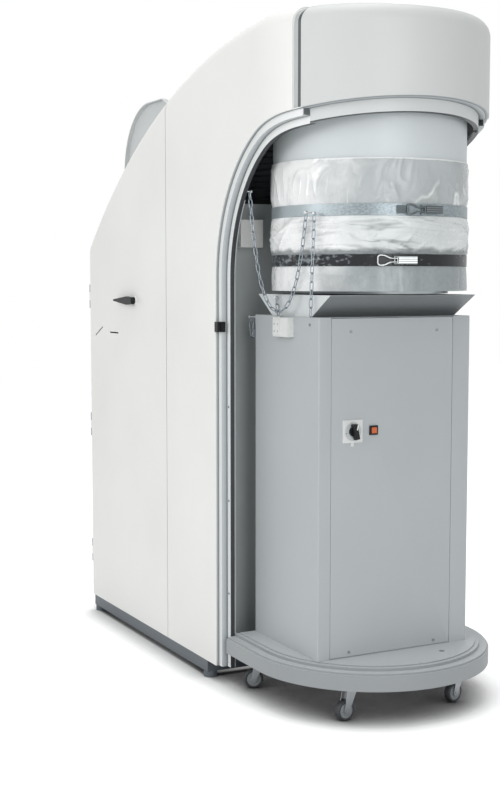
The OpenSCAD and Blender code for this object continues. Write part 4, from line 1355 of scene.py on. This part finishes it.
@dataclass
class Chains(Part):
    """The chains that hang beside the drum, made of one link repeated along each route.

    Args:
        wire: Diameter of the link's wire.
        pitch: Distance from link to link.
        gap: Inner width of a link.
        ease: Play between neighbours.
        stud: Radius of the pins that the chains hang on.
        head: Radius of a pin's head.
        out: How far from the drum's axis the band's pins hold their chains.
        trim: Where the long chain hangs on the arch moulding.
        clasp: Turn and height at which the long chain hangs on the band.
        tag: The same for the chain that hangs down from the band.
        rim: Where a short chain hangs on the hopper's rim.
        plug: Where its other end hangs on the cabinet.
        corner: Where the shortest chain hangs behind the cabinet's corner.
    """

    wire: float = 0.0032
    pitch: float = 0.025
    gap: float = 0.007
    ease: float = 0.0003
    stud: float = 0.0015
    head: float = 0.004
    out: float = 0.322
    trim: Point = (-0.325, -0.367, 1.5703)
    clasp: tuple[float, float] = (66.5, 1.497)
    tag: tuple[float, float] = (61.5, 1.494)
    rim: Point = (-0.263, -0.428, 1.248)
    plug: Point = (-0.279, -0.472, 1.192)
    corner: Point = (-0.264, -0.295, 1.184)

    def hang(self, a: Point, b: Point, slack: float, count: int = 24) -> list[Vector]:
        """The route of a chain that hangs between two points.

        Args:
            a: Start.
            b: End.
            slack: The curve's own length scale; the smaller, the deeper it hangs.
            count: Steps along the route.

        Returns:
            The points.
        """
        flat = math.hypot(b[0] - a[0], b[1] - a[1])
        low = flat / 2 - slack * math.asinh((b[2] - a[2]) / (2 * slack * math.sinh(flat / 2 / slack)))
        lift = self.stud - self.ease
        return [Vector((a[0] + (b[0] - a[0]) * t, a[1] + (b[1] - a[1]) * t,
                        a[2] + lift + slack * (math.cosh((flat * t - low) / slack) - math.cosh(low / slack))))
                for t in (k / count for k in range(count + 1))]

    def spots(self, route: Sequence[Vector], twist: float) -> list[tuple[Vector, Vector]]:
        """Places and turns of the links along a route.

        Args:
            route: The route's points.
            twist: Turn of the first link about the route, in degrees.

        Returns:
            Pairs of place and Euler turn.
        """
        lengths = [(q - p).length for p, q in zip(route, route[1:])]
        total = sum(lengths)
        count = math.ceil(total / self.pitch - 0.02)

        def at(s: float) -> Vector:
            """Finds a place on the route.

            Args:
                s: Distance along it.

            Returns:
                The place.
            """
            for p, q, size in zip(route, route[1:], lengths):
                if s <= size:
                    return p.lerp(q, s / size)
                s -= size
            return route[-1].copy()

        found = []
        for k in range(count):
            a, b = at(k * total / count), at((k + 1) * total / count)
            d = (b - a).normalized()
            turn = (Matrix.Rotation(math.atan2(d.y, d.x), 3, "Z") @ Matrix.Rotation(-math.asin(d.z), 3, "Y")
                    @ Matrix.Rotation(math.radians(k % 2 * 90 + twist), 3, "X"))
            found.append(((a + b) / 2, Vector(turn.to_euler())))
        return found

    def link(self, around: int = 28, section: int = 8) -> bpy.types.Object:
        """Makes one link as a closed tube round an oval.

        Args:
            around: Steps along the wire.
            section: Points around the wire.

        Returns:
            The link.
        """
        bend = (self.gap + self.wire) / 2
        half = (self.pitch + 2 * self.ease - self.gap) / 2
        loops = []
        for t in (4 * k / around for k in range(around)):
            side, share = (1, t) if t < 2 else (-1, t - 2)
            if share < 1:
                a = math.pi * (share - 0.5)
                out = Vector((side * math.cos(a), side * math.sin(a), 0))
                spot = Vector((side * half, 0, 0)) + out * bend
            else:
                out = Vector((0, side, 0))
                spot = Vector((side * half * (1 - 2 * (share - 1)), side * bend, 0))
            loops.append([spot + (out * math.cos(b) + Vector((0, 0, math.sin(b)))) * (self.wire / 2)
                          for b in circle(section)])
        mesh = meshed("chain_link", loft(loops, ring=True))
        mesh.shade_smooth()
        return linked("chain_link", mesh)

    def pin(self, place: Point, way: Vector, back: float, reach: float) -> Shape:
        """A headed pin that a chain hangs on.

        Args:
            place: A point on the pin's axis.
            way: The direction away from its surface.
            back: Length from the place back to the surface.
            reach: Length from the place to the head.

        Returns:
            The points and faces.
        """
        tip = 0.00001
        profile = [(tip, -back), (self.stud, -back), (self.stud, reach), (self.head, reach),
                   (self.head, reach + 0.0014), (self.head - 0.0006, reach + 0.002), (tip, reach + 0.002)]
        verts, faces = spun(profile, 20, closed=False)
        turn = Vector((0, 0, 1)).rotation_difference(way)
        return [tuple(turn @ Vector(v) + Vector(place)) for v in verts], faces

    def build(self, piece: Piece) -> None:
        """Builds the chains with their pins.

        Args:
            piece: The maker of pieces.
        """
        clasp, tag = (Vector(beside_drum(turn, self.out, z)) for turn, z in (self.clasp, self.tag))
        rim, plug, corner = Vector(self.rim), Vector(self.plug), Vector(self.corner)
        left, back, up, reach = Vector((-1, 0, 0)), Vector((0, 1, 0)), Vector((0, 0, 1)), 0.006

        def on_band(place: Vector) -> tuple[Vector, Vector, float, float]:
            """Gives the pin that holds a chain's end beside the band."""
            away = (place - Vector((DRUM_X, DRUM_Y, place.z))).normalized()
            return place, away, self.out - BAND_RADIUS, reach

        down = [tag + up * (self.stud - self.ease), tag - Vector((0.012, 0, 0.3 - self.stud))]
        # Name, node, the routes with the turn of their first link, and the pins
        plans = (
            ("hanging_chain", "long_chain", ((self.hang(self.trim, clasp, slack=0.04874), -78),),
             ((self.trim, -left, 0.008, reach), on_band(clasp))),
            ("small_chains", "short_chains",
             ((down, -28), (self.hang(rim, plug + up * 0.002, slack=0.0295), -110),
              (self.hang(corner + back * 0.010, corner + back * 0.037, slack=0.00362), 90)),
             (on_band(tag), (rim, left, 0.008, reach), (plug, up, 0.004, 0.008), (corner, back, 0, 0.046))))
        item = self.link()
        for name, node, routes, pins in plans:
            spots = [spot for route, twist in routes for spot in self.spots(route, twist)]
            mesh = repeated(name, spots, item, piece.materials["zinc_band"])
            with edited(mesh) as work:
                work.from_mesh(meshed("pins", joined(*(self.pin(*p) for p in pins))))
            piece.add(name, mesh, "zinc_band", (node,), 50)
        bpy.data.objects.remove(item)


@dataclass
class Bail(Part):
    """The wire bail of one toggle latch, a round wire that widens from its pivots to its end.

    Args:
        node: The CAD node that it replaces.
        turn: Turn of the latch round the drum to the left of its front, in degrees.
        height: Height of the band's middle.
        pivot: How far the pivot is along the band.
        pin_half: Half of the pivot pin's length.
        out: How far the wire stands out from the band.
        wire: Radius of the wire at its wide end.
        thin: Radius of the wire at its pivots.
        reach: How far the wire's inner end is along the band.
        taper_from: How far beyond the band's middle the wire begins to widen.
        taper: Length over which it widens.
        sides: Points around the wire.
    """

    node: str
    turn: float
    height: float
    pivot: float = 0.008
    pin_half: float = 0.0112
    out: float = 0.0085
    wire: float = 0.0022
    thin: float = 0.0014
    reach: float = 0.0503
    taper_from: float = 0.008
    taper: float = 0.006
    sides: int = 12

    def tube(self, path: Sequence[tuple[float, float]], wide: float) -> Shape:
        """Sweeps the wire along a path that lies flat in front of the band.

        Args:
            path: Places along the band and up.
            wide: Radius of the wire at its wide end.

        Returns:
            The points and faces.
        """
        loops = []
        ends = [path[0], *path, path[-1]]
        for before, (u, v), after in zip(ends, path, ends[2:]):
            onward = Vector((after[0] - before[0], 0, after[1] - before[1])).normalized()
            away = onward.cross(Vector((0, 1, 0)))
            size = self.thin + (wide - self.thin) * min(1.0, max(0.0, (-self.taper_from - u) / self.taper))
            loops.append([self.placed(u + away.x * size * math.cos(a), size * math.sin(a) - self.out,
                                      v + away.z * size * math.cos(a)) for a in circle(self.sides)])
        return loft(loops)

    def placed(self, along: float, out: float, up: float) -> Point:
        """Turns a place on the latch into a place in the frame.

        Args:
            along: Distance along the band from the latch's middle.
            out: Distance behind the band's face.
            up: Height above the band's middle.

        Returns:
            The place.
        """
        a, reach = math.radians(-self.turn), out - BAND_RADIUS
        return (DRUM_X + along * math.cos(a) - reach * math.sin(a),
                DRUM_Y + along * math.sin(a) + reach * math.cos(a), self.height + up)

    def build(self, piece: Piece) -> None:
        """Builds the bail.

        Args:
            piece: The maker of pieces.
        """
        end, wide, neck, steps = self.reach + self.wire - self.thin, 0.0145, 0.005, 8
        upper = [(self.pivot, neck), (-0.014, neck), (-0.031, wide), (-end, wide)]
        corners = upper + [(u, -v) for u, v in reversed(upper)]
        path = [corners[0]]
        bends = (0.010, 0.009, 0.009, 0.009, 0.009, 0.010)
        for before, corner, after, size in zip(corners, corners[1:], corners[2:], bends):
            b = Vector(corner)
            start, stop = (b + (Vector(p) - b).normalized() * size for p in (before, after))
            shares = [k / steps for k in range(steps + 1)]
            path += [tuple(start.lerp(b, t).lerp(b.lerp(stop, t), t)) for t in shares]
        path.append(corners[-1])
        pivot_pin = self.tube([(self.pivot, -self.pin_half), (self.pivot, self.pin_half)], self.thin)
        piece.add(self.node + "_wire", joined(self.tube(path, self.wire), pivot_pin), "steel_grey",
                  (self.node,), 40, self.node, body_of(self.node))


# ---------------------------------------------------------------- drum and duct


@dataclass
class Drum(Part):
    """The outlet drum with its rolled lower rim and its narrow spout.

    Args:
        radius: Outer radius.
        wall: Thickness of the sheet.
        bottom: Lower edge.
        soft: Size of the rounded lower edge.
        floor: Height of the hood floor that carries it.
        flange: Width of the flange under the hood floor.
        flange_thick: Thickness of that flange.
        above: How far the drum stands above the hood floor.
        spout: Outer radius of the narrow spout.
        spout_low: Lower edge of the spout.
    """

    radius: float = 0.297
    wall: float = 0.002
    bottom: float = 1.290
    soft: float = 0.003
    floor: float = 1.827
    flange: float = 0.026
    flange_thick: float = 0.004
    above: float = 0.047
    spout: float = 0.245
    spout_low: float = 1.260

    def build(self, piece: Piece) -> None:
        """Builds the drum.

        Args:
            piece: The maker of pieces.
        """
        r, t, s, soft = self.radius, self.wall, self.spout, self.soft
        low, floor, top = self.bottom, self.floor, self.floor + self.above
        profile = [
            (s, self.spout_low), (s, low - 0.001), (r - soft, low), (r - soft / 3, low + soft / 3),
            (r, low + soft), (r, floor), (r + self.flange, floor), (r + self.flange, floor + self.flange_thick),
            (r, floor + self.flange_thick), (r, top), (r - t, top), (r - t, low + soft),
            (r - soft, low + t), (s - t, low + t), (s - t, self.spout_low)]
        drum = spun(profile, 256, (DRUM_X, DRUM_Y, 0))
        piece.add("outlet_drum", drum, "inner_paint", ("drum",), 30, "drum_steel")


@dataclass
class Riser(Part):
    """The corrugated duct that stands behind the drum.

    Args:
        middle: The duct's axis, front to back.
        radius: Outer radius.
        wall: How far inside the ribs' mean radius its inner side is.
        low: Lower end.
        high: Upper end.
        pitch: Distance from rib to rib.
        depth: Depth of the ribs.
    """

    middle: float = 0.06
    radius: float = 0.172
    wall: float = 0.008
    low: float = 0.830
    high: float = 1.824
    pitch: float = 0.020
    depth: float = 0.007

    def build(self, piece: Piece) -> None:
        """Builds the duct: a node tree pushes a plain tube out and in with its height.

        Args:
            piece: The maker of pieces.
        """
        tall, mean = self.high - self.low, self.radius - self.depth / 2
        rows = round(tall / self.pitch) * 8
        profile = [(mean, tall * k / rows) for k in range(rows + 1)]
        profile += [(mean - self.wall, tall), (mean - self.wall, 0)]
        tree = GrowTree("ribbed_tube", Pitch=self.pitch, Depth=self.depth)
        x, y, z = tree.split(tree.add("GeometryNodeInputPosition").outputs[0])
        out = tree.vector("NORMALIZE", tree.add("ShaderNodeCombineXYZ", x, y).outputs[0])
        turns = tree.math("DIVIDE", z, tree.ins["Pitch"])
        wave = tree.math("COSINE", tree.math("MULTIPLY", turns, 2 * math.pi))
        deep = tree.math("MULTIPLY", tree.math("MULTIPLY", wave, tree.ins["Depth"]), -0.5)
        push = tree.add("ShaderNodeVectorMath", out, operation="SCALE", in_Scale=deep)
        move = tree.add("GeometryNodeSetPosition", in_Geometry=tree.ins["Geometry"], in_Offset=push.outputs[0])
        tube = tree.run(linked("riser_base", meshed("riser_base", spun(profile, 96))), move.outputs[0],
                        Material=piece.materials["duct_rubber"])
        tube.transform(Matrix.Translation((0, self.middle, self.low)))
        piece.add("corrugated_riser", tube, "duct_rubber", ("riser_duct",), 60)


# ---------------------------------------------------------------- cabinet and casters


@dataclass
class Cabinet(Part):
    """The switch cabinet: folded shell, front panel and flared hopper.

    Args:
        half: Half of the shell's width.
        front: Front face of the shell.
        rear: Rear face of the shell.
        low: Lower edge.
        high: Upper edge.
        left: Left edge of the front panel.
        right: Right edge of the front panel.
        inset: How far the panel ends below the shell's top and above its bottom.
        sheet: Thickness of the sheet.
        soft: Radius of the shell's upright edges.
        gap: Gap round the panel.
        fold: Width of the panel's folded edges.
        mouth: Half of the hopper's width at the shell.
        mouth_front: Front of the hopper at the shell.
        mouth_rear: Rear of the hopper at the shell.
        rim_front: Front of the hopper's rim.
        rim_rear: Rear of the hopper's rim.
        rim: Height of the hopper's rim.
    """

    half: float = 0.268
    front: float = -0.695
    rear: float = -0.295
    low: float = 0.175
    high: float = 1.192
    left: float = -0.225
    right: float = 0.203
    inset: float = 0.003
    sheet: float = 0.002
    soft: float = 0.004
    gap: float = 0.0015
    fold: float = 0.02
    mouth: float = 0.255
    mouth_front: float = -0.630
    mouth_rear: float = -0.384
    rim_front: float = -0.736
    rim_rear: float = -0.294
    rim: float = 1.257

    def shell(self, piece: Piece) -> None:
        """Builds the folded shell with its round upright edges and its openings.

        Args:
            piece: The maker of pieces.
        """
        depth, middle = self.rear - self.front, (self.rear + self.front) / 2
        low, high, t, gap, slit = self.low, self.high, self.sheet, self.gap, 0.0003

        def loop(inset: float, z: float) -> list[Point]:
            """Gives the shell's outline at an inset and a height."""
            outline = rounded_plate(2 * (self.half - inset), depth - 2 * inset, max(self.soft - inset, 0.0006))
            return [(u, middle + v, z) for u, v in outline]

        mesh = meshed("cabinet_body", loft([loop(0, low), loop(0, high - 0.0015), loop(0.0005, high - 0.0004),
                                            loop(0.0016, high)]))
        hollow = box_part((-self.half + t, self.front + t, low + t), (self.half - t, self.rear - t, high - t))
        window = box_part((self.left - gap, self.front - 0.05, low + self.inset - gap),
                          (self.right + gap, self.front + t + 0.01, high - self.inset + gap))
        mouth = box_part((-self.mouth - slit, self.mouth_front - slit, high - 0.01),
                         (self.mouth + slit, self.mouth_rear + slit, high + 0.05))
        cut(mesh, hollow, window, mouth)
        piece.add("cabinet_body", mesh, "grey_paint", ("cabinet_shell",))

    def panel(self, piece: Piece) -> None:
        """Builds the front panel with its folded edges.

        Args:
            piece: The maker of pieces.
        """
        low, high, face = self.low + self.inset, self.high - self.inset, self.front + self.sheet
        centre = ((self.left + self.right) / 2, face, (low + high) / 2)
        plate = front_plate(centre, self.right - self.left, high - low, self.sheet, corner=0.0015,
                            soft=0.0007)
        folds = [box_part((x, face, low + self.fold), (x + self.fold, face + self.sheet, high - self.fold))
                 for x in (self.left - 0.012, self.right - 0.008)]
        piece.add("front_panel", joined(plate, *folds), "grey_paint", ("cabinet_front",))

    def hopper(self, piece: Piece) -> None:
        """Builds the flared hopper from its four folded sheets.

        Args:
            piece: The maker of pieces.
        """
        x, t, lip, neck, drop = self.mouth, self.sheet, 0.0012, self.high, self.high - 0.06
        at_mouth, at_rim = (self.mouth_front, self.mouth_rear), (self.rim_front, self.rim_rear)

        def loop(inset: float, z: float, ends: tuple[float, float], more: float = 0.0) -> list[Point]:
            """Gives a rectangle at a height, inset by as much all round and by more in front and behind."""
            ya, yb = ends[0] + more + inset, ends[1] - more - inset
            return [(-x + inset, ya, z), (x - inset, ya, z), (x - inset, yb, z), (-x + inset, yb, z)]

        sheets = loft([loop(0, drop, at_mouth), loop(0, neck, at_mouth), loop(0, self.rim - lip, at_rim),
                       loop(lip / 3, self.rim, at_rim), loop(t, self.rim, at_rim, 0.001),
                       loop(t, neck, at_mouth, 0.0005), loop(t, drop, at_mouth)], ring=True)
        piece.add("cabinet_hopper", sheets, "grey_paint", ("hopper",), 25, "hopper_paint")

    def build(self, piece: Piece) -> None:
        """Builds the cabinet's sheets.

        Args:
            piece: The maker of pieces.
        """
        self.shell(piece)
        self.panel(piece)
        self.hopper(piece)


@dataclass
class Controls(Part):
    """The rotary switch's plate, dial and marks on the cabinet's front.

    Args:
        switch: Middle of the switch on the front face.
        side: Side of the switch plate.
        knob_turn: Turn of the knob's handle at rest, in degrees.
        knob_face: How far the knob's handle stands out.
        knob_hole: Radius of the hole in the dial.
        dial: Radius of the dial.
        dial_face: How far the dial stands out.
        mark: Distance of the dial's marks from its middle.
        pointer: The same for the knob's pointer.
    """

    switch: Point = (-0.153, -0.695, 0.856)
    side: float = 0.068
    knob_turn: float = 12.0
    knob_face: float = 0.0268
    knob_hole: float = 0.0045
    dial: float = 0.028
    dial_face: float = 0.0065
    mark: float = 0.0245
    pointer: float = 0.0135

    def at(self, turn: float, reach: float, out: float) -> Point:
        """A place on the switch at a turn in radians, a distance from the middle and one from the face."""
        x, y, z = self.switch
        return x + reach * math.sin(turn), y - out, z + reach * math.cos(turn)

    def build(self, piece: Piece) -> None:
        """Builds the square plate with its padlock tab, the dial, its two marks and the knob's white pointer.

        Args:
            piece: The maker of pieces.
        """
        x, y, z = self.switch
        base = front_plate((x, y, z), self.side, self.side, thick=0.004, corner=0.003, soft=0.001)
        tab = front_plate((x, y, z - self.side / 2 - 0.005), width=0.010, height=0.012, thick=0.002,
                          corner=0.002, soft=0.0006)
        piece.add("switch_plate_face", joined(base, tab), "pale_plastic", ("switch_plate",))
        hole, r, face = self.knob_hole, self.dial, self.dial_face
        profile = [(hole, -0.003), (r - 0.002, -0.003), (r, -0.0045), (r, 0.0007 - face), (r - 0.0008, -face),
                   (hole, -face)]
        piece.add("switch_dial", spun(profile, 64, (x, y, z), "Y"), "pale_plastic", paint="dial_grey")
        turns = [math.radians(-self.knob_turn - at) for at in (0, 90)]
        marks = [turned_bar(self.at(turn, self.mark, face + 0.00002), turn, length=0.0045, width=0.0014,
                            thick=0.0003) for turn in turns]
        piece.add("dial_marks", joined(*marks), "black_plastic", sharp=35)
        turn = math.radians(self.knob_turn)
        line = turned_bar(self.at(turn, self.pointer, self.knob_face), turn, length=0.016, width=0.003,
                          thick=0.0004)
        piece.add("knob_pointer", line, "pale_plastic", (), 35, "mark_white", body_of("switch_knob"))


@dataclass
class Wheel(Part):
    """One caster wheel: a dark tyre on a grey hub.

    Args:
        number: Number of the caster.
        radius: Tread radius.
        width: Width.
        hub: Radius where the tyre begins.
        bore: Radius of the axle's hole.
        boss: Radius of the hub's middle.
    """

    number: int
    radius: float = 0.031
    width: float = 0.022
    hub: float = 0.0225
    bore: float = 0.00405
    boss: float = 0.010

    def build(self, piece: Piece) -> None:
        """Builds the tyre and the hub.

        Args:
            piece: The maker of pieces.
        """
        body = f"wheel_{self.number}"
        joint = next(j for j in frame["joints"] if j["child"] == body)
        turn = Vector((0, 0, 1)).rotation_difference(Vector(joint["axis"])).to_matrix().to_4x4()
        w, r, h, dish = self.width / 2, self.radius, self.hub, 0.0025
        tyre = [(h, -w + 0.001), (r - 0.004, -w), (r - 0.001, -w + dish), (r, -w + 0.006)]
        core = [(self.bore, -w), (self.boss, -w), (self.boss + 0.0005, -w + dish), (h - 0.001, -w + dish),
                (h, -w + 0.001)]
        tyre_row = ("tyre", tyre, "wheel_tyre", (f"caster_wheel_{self.number}",), "")
        for name, half, slot, stands, paint in (tyre_row, ("hub", core, "pale_plastic", (), "hub_grey")):
            profile = half + [(reach, -along) for reach, along in reversed(half)]
            mesh = meshed(name, spun(profile, 64))
            mesh.transform(Matrix.Translation(joint["pos_m"]) @ turn)
            piece.add(f"{body}_{name}", mesh, slot, stands, 40, paint, body)


# ---------------------------------------------------------------- assembly

# Pieces that follow their CAD node: name, node, angle of a sharp edge and own finish, if any
SMOOTH_NODES: tuple[tuple[str, str, float, str], ...] = (
    ("arm_skin", "arm_shell", 30, "arm_paint"), ("hood_cap", "front_cap", 30, ""),
    ("rear_skin", "rear_shell", 30, ""), ("side_door", "left_door", 30, ""),
    ("arch_trim_left", "left_trim", 30, "moulding"),
    ("arch_trim_right", "right_trim", 30, "moulding"), ("arch_trim_front", "front_lip", 30, "lip"),
    ("feed_cheeks", "feed_hopper", 30, "cheek_paint"), ("hood_plate", "hood_floor", 30, ""),
    ("band_upper", "upper_band", 35, "band_zinc"), ("band_lower", "lower_band", 35, "band_black"),
    ("platform_body", "platform", 30, "base_paint"), ("inner_front", "front_wall", 30, "wall_paint"),
    ("wall_box", "junction_box", 30, "box_white"), ("latch_upper", "upper_lever", 30, "upper_lever"),
    ("latch_lower", "lower_lever", 30, "lower_lever"),
)


def write_sizes() -> None:
    """Defines a helper that turns a box into plain lists of numbers; nothing is written."""
    def plain(box: Iterable[Iterable[float]]) -> list[list[float]]:
        """Turns a box into plain lists of numbers."""
        return [[float(v) for v in corner] for corner in box]


def main() -> None:
    """Builds the scene."""
    logging.basicConfig(level=logging.INFO, format="%(message)s")
    Studio().build()
    materials = {look.name: look.build() for look in LOOKS}
    slots = {part["node"]: part["material_slot"] for part in frame["record"]["subparts"]}
    for name, node in frame["nodes"].items():
        for spot in node.material_slots:
            spot.material = materials[slots[name]]
    piece = Piece(materials)
    for name, node, sharp, paint in SMOOTH_NODES:
        piece.from_node(name, node, slots[node], sharp, paint)
    bails = (Bail("upper_bail", 2.0, UPPER_BAND), Bail("lower_bail", 18.0, LOWER_BAND))
    wheels = (Wheel(number) for number in range(1, 5))
    for part in (Drum(), *film(), Riser(), Chains(), *bails, Cabinet(), Controls(), *wheels):
        part.build(piece)
    write_sizes()


if __name__ == "__main__":
    main()
